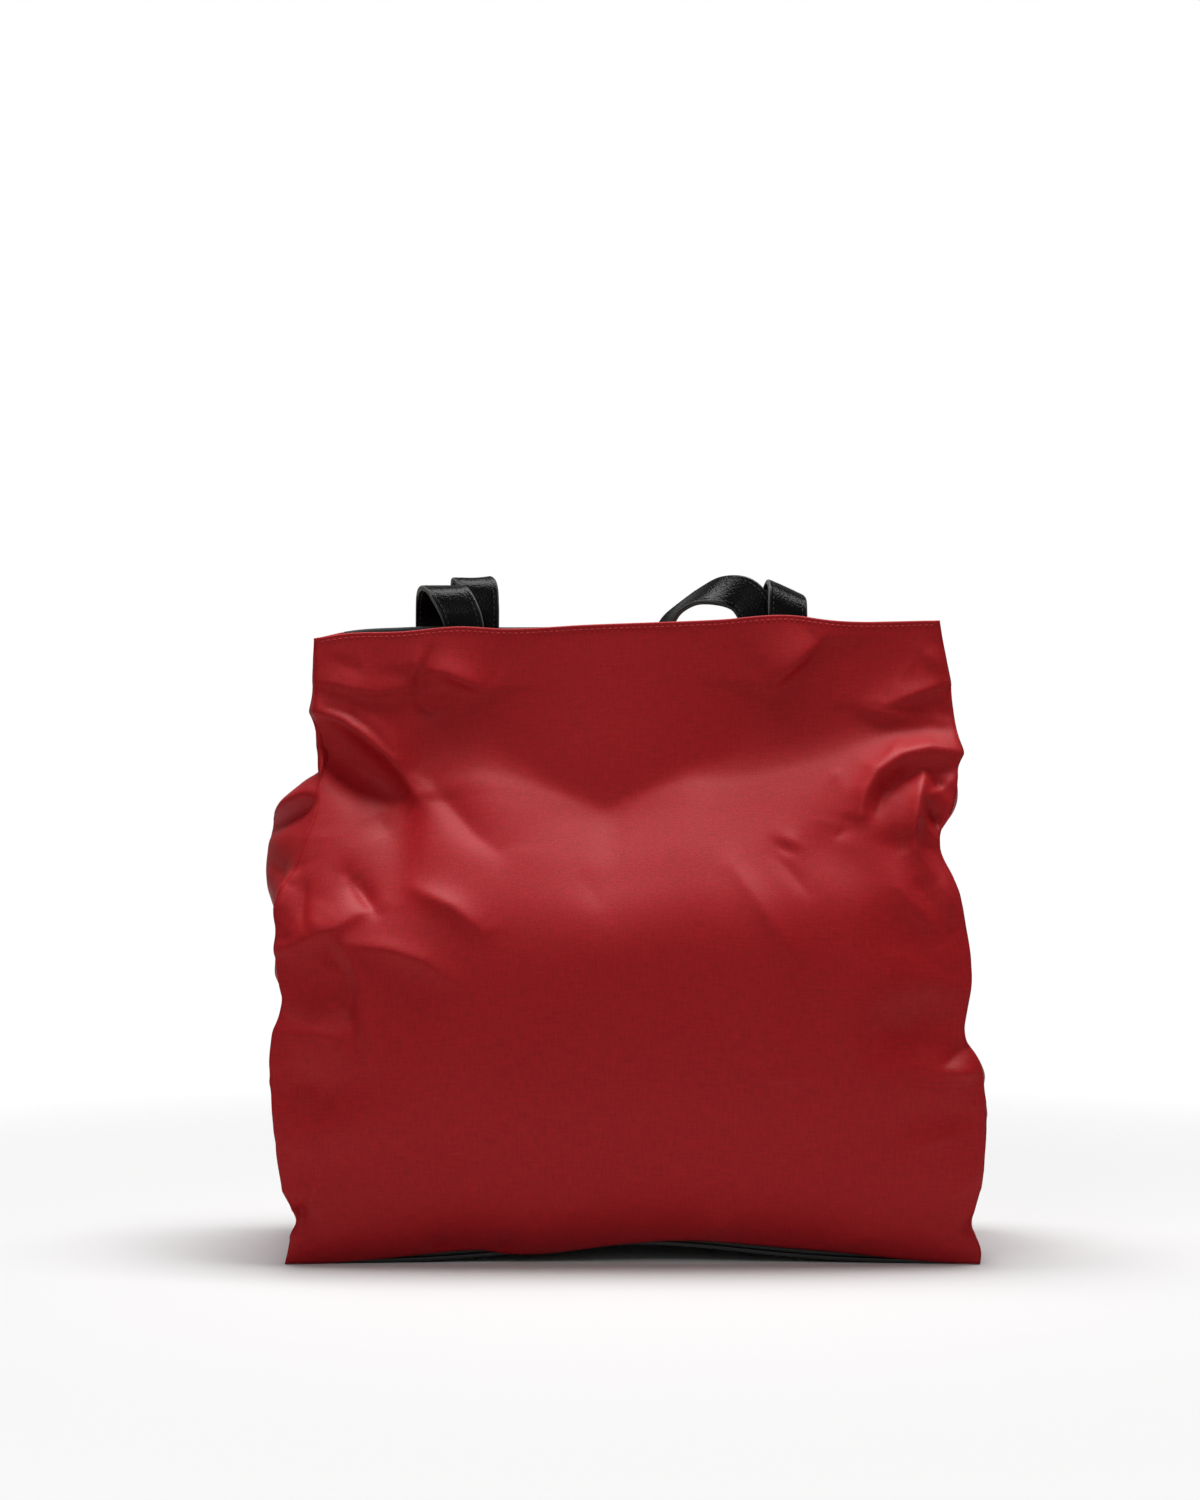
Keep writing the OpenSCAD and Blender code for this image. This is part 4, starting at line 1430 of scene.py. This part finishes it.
def floor_finish():
    """A pale matt floor, which the camera sees only round the bag."""
    made, tree, shader = new_material("floor_white")
    link = tree.links.new
    shader.inputs["Base Color"].default_value = (0.69, 0.69, 0.69, 1)
    shader.inputs["Roughness"].default_value = 0.9
    shader.inputs["Specular IOR Level"].default_value = 0.1
    place = add_node(tree, "ShaderNodeTexCoord")
    away = add_node(tree, "ShaderNodeVectorMath", operation="LENGTH")
    seen = add_node(tree, "ShaderNodeLightPath")
    gone = add_node(tree, "ShaderNodeMath", operation="MULTIPLY")
    clear = add_node(tree, "ShaderNodeBsdfTransparent")
    mixed = add_node(tree, "ShaderNodeMixShader")
    link(place.outputs["Object"], away.inputs[0])
    far_off = number_between(tree, away.outputs["Value"], 0, 1, noise=(FLOOR_KEPT, FLOOR_GONE))
    link(far_off, gone.inputs[0])
    link(seen.outputs["Is Camera Ray"], gone.inputs[1])
    link(gone.outputs["Value"], mixed.inputs["Fac"])
    link(shader.outputs["BSDF"], mixed.inputs[1])
    link(clear.outputs["BSDF"], mixed.inputs[2])
    link(mixed.outputs["Shader"], tree.nodes["Material Output"].inputs["Surface"])
    return made


def studio_world():
    """White where the camera looks at it or through something at it, dimmer in shine and as light."""
    made = bpy.data.worlds.new("studio")
    made.use_nodes = True
    tree = made.node_tree
    link = tree.links.new
    sky = tree.nodes["Background"]
    sky.inputs["Color"].default_value = (1, 1, 1, 1)
    seen = add_node(tree, "ShaderNodeLightPath")
    shine = add_node(tree, "ShaderNodeMath", {1: GLOSS_LIGHT}, operation="MULTIPLY")
    either = add_node(tree, "ShaderNodeMath", operation="MAXIMUM")
    any_of = add_node(tree, "ShaderNodeMath", operation="MAXIMUM")
    link(seen.outputs["Is Glossy Ray"], shine.inputs[0])
    link(seen.outputs["Is Camera Ray"], either.inputs[0])
    link(shine.outputs["Value"], either.inputs[1])
    link(either.outputs["Value"], any_of.inputs[0])
    link(seen.outputs["Is Transmission Ray"], any_of.inputs[1])
    level = number_between(tree, any_of.outputs["Value"], WORLD_LIGHT, 1.0, noise=(0, 1))
    link(level, sky.inputs["Strength"])
    return made


def soft_box(name, spot, target, size, power):
    """A lamp with a wide soft face, turned to a point on the bag."""
    light = bpy.data.lights.new(name, "AREA")
    light.shape = "RECTANGLE"
    light.size, light.size_y = size
    light.energy = power
    lamp = put_in_scene(name, light)
    lamp.location = spot
    lamp.rotation_euler = (Vector(target) - Vector(spot)).to_track_quat("-Z", "Y").to_euler()


floor_mesh = bpy.data.meshes.new("floor")
floor_corners = [(x * FLOOR_HALF, y * FLOOR_HALF, 0) for x, y in ((-1, -1), (1, -1), (1, 1), (-1, 1))]
floor_mesh.from_pydata(floor_corners, [], [(0, 1, 2, 3)])
floor_mesh.materials.append(floor_finish())
put_in_scene("floor", floor_mesh)
scene.world = studio_world()
soft_box("top_box", spot=(0.05, 0.08, 1.6), target=(0, -0.05, 0.2), size=(1.2, 0.7), power=35)
soft_box("left_box", spot=(-0.6, -1.3, 1.3), target=(0, -0.05, 0.2), size=(0.8, 0.6), power=5)
soft_box("front_fill", spot=(0.3, -2.4, 0.6), target=(0, 0, 0.15), size=(1.2, 1.2), power=2.6)

lens = bpy.data.cameras.new("camera")
lens.sensor_width = SENSOR
lens.lens = SENSOR * (CAMERA_BACK - FRAME_PLANE) / FRAME_TALL
camera = put_in_scene("camera", lens)
camera.location = (CAMERA_ACROSS, -CAMERA_BACK, CAMERA_HEIGHT)
camera.rotation_euler = (math.pi / 2, 0, 0)
scene.camera = camera
scene.view_settings.view_transform = "Standard"
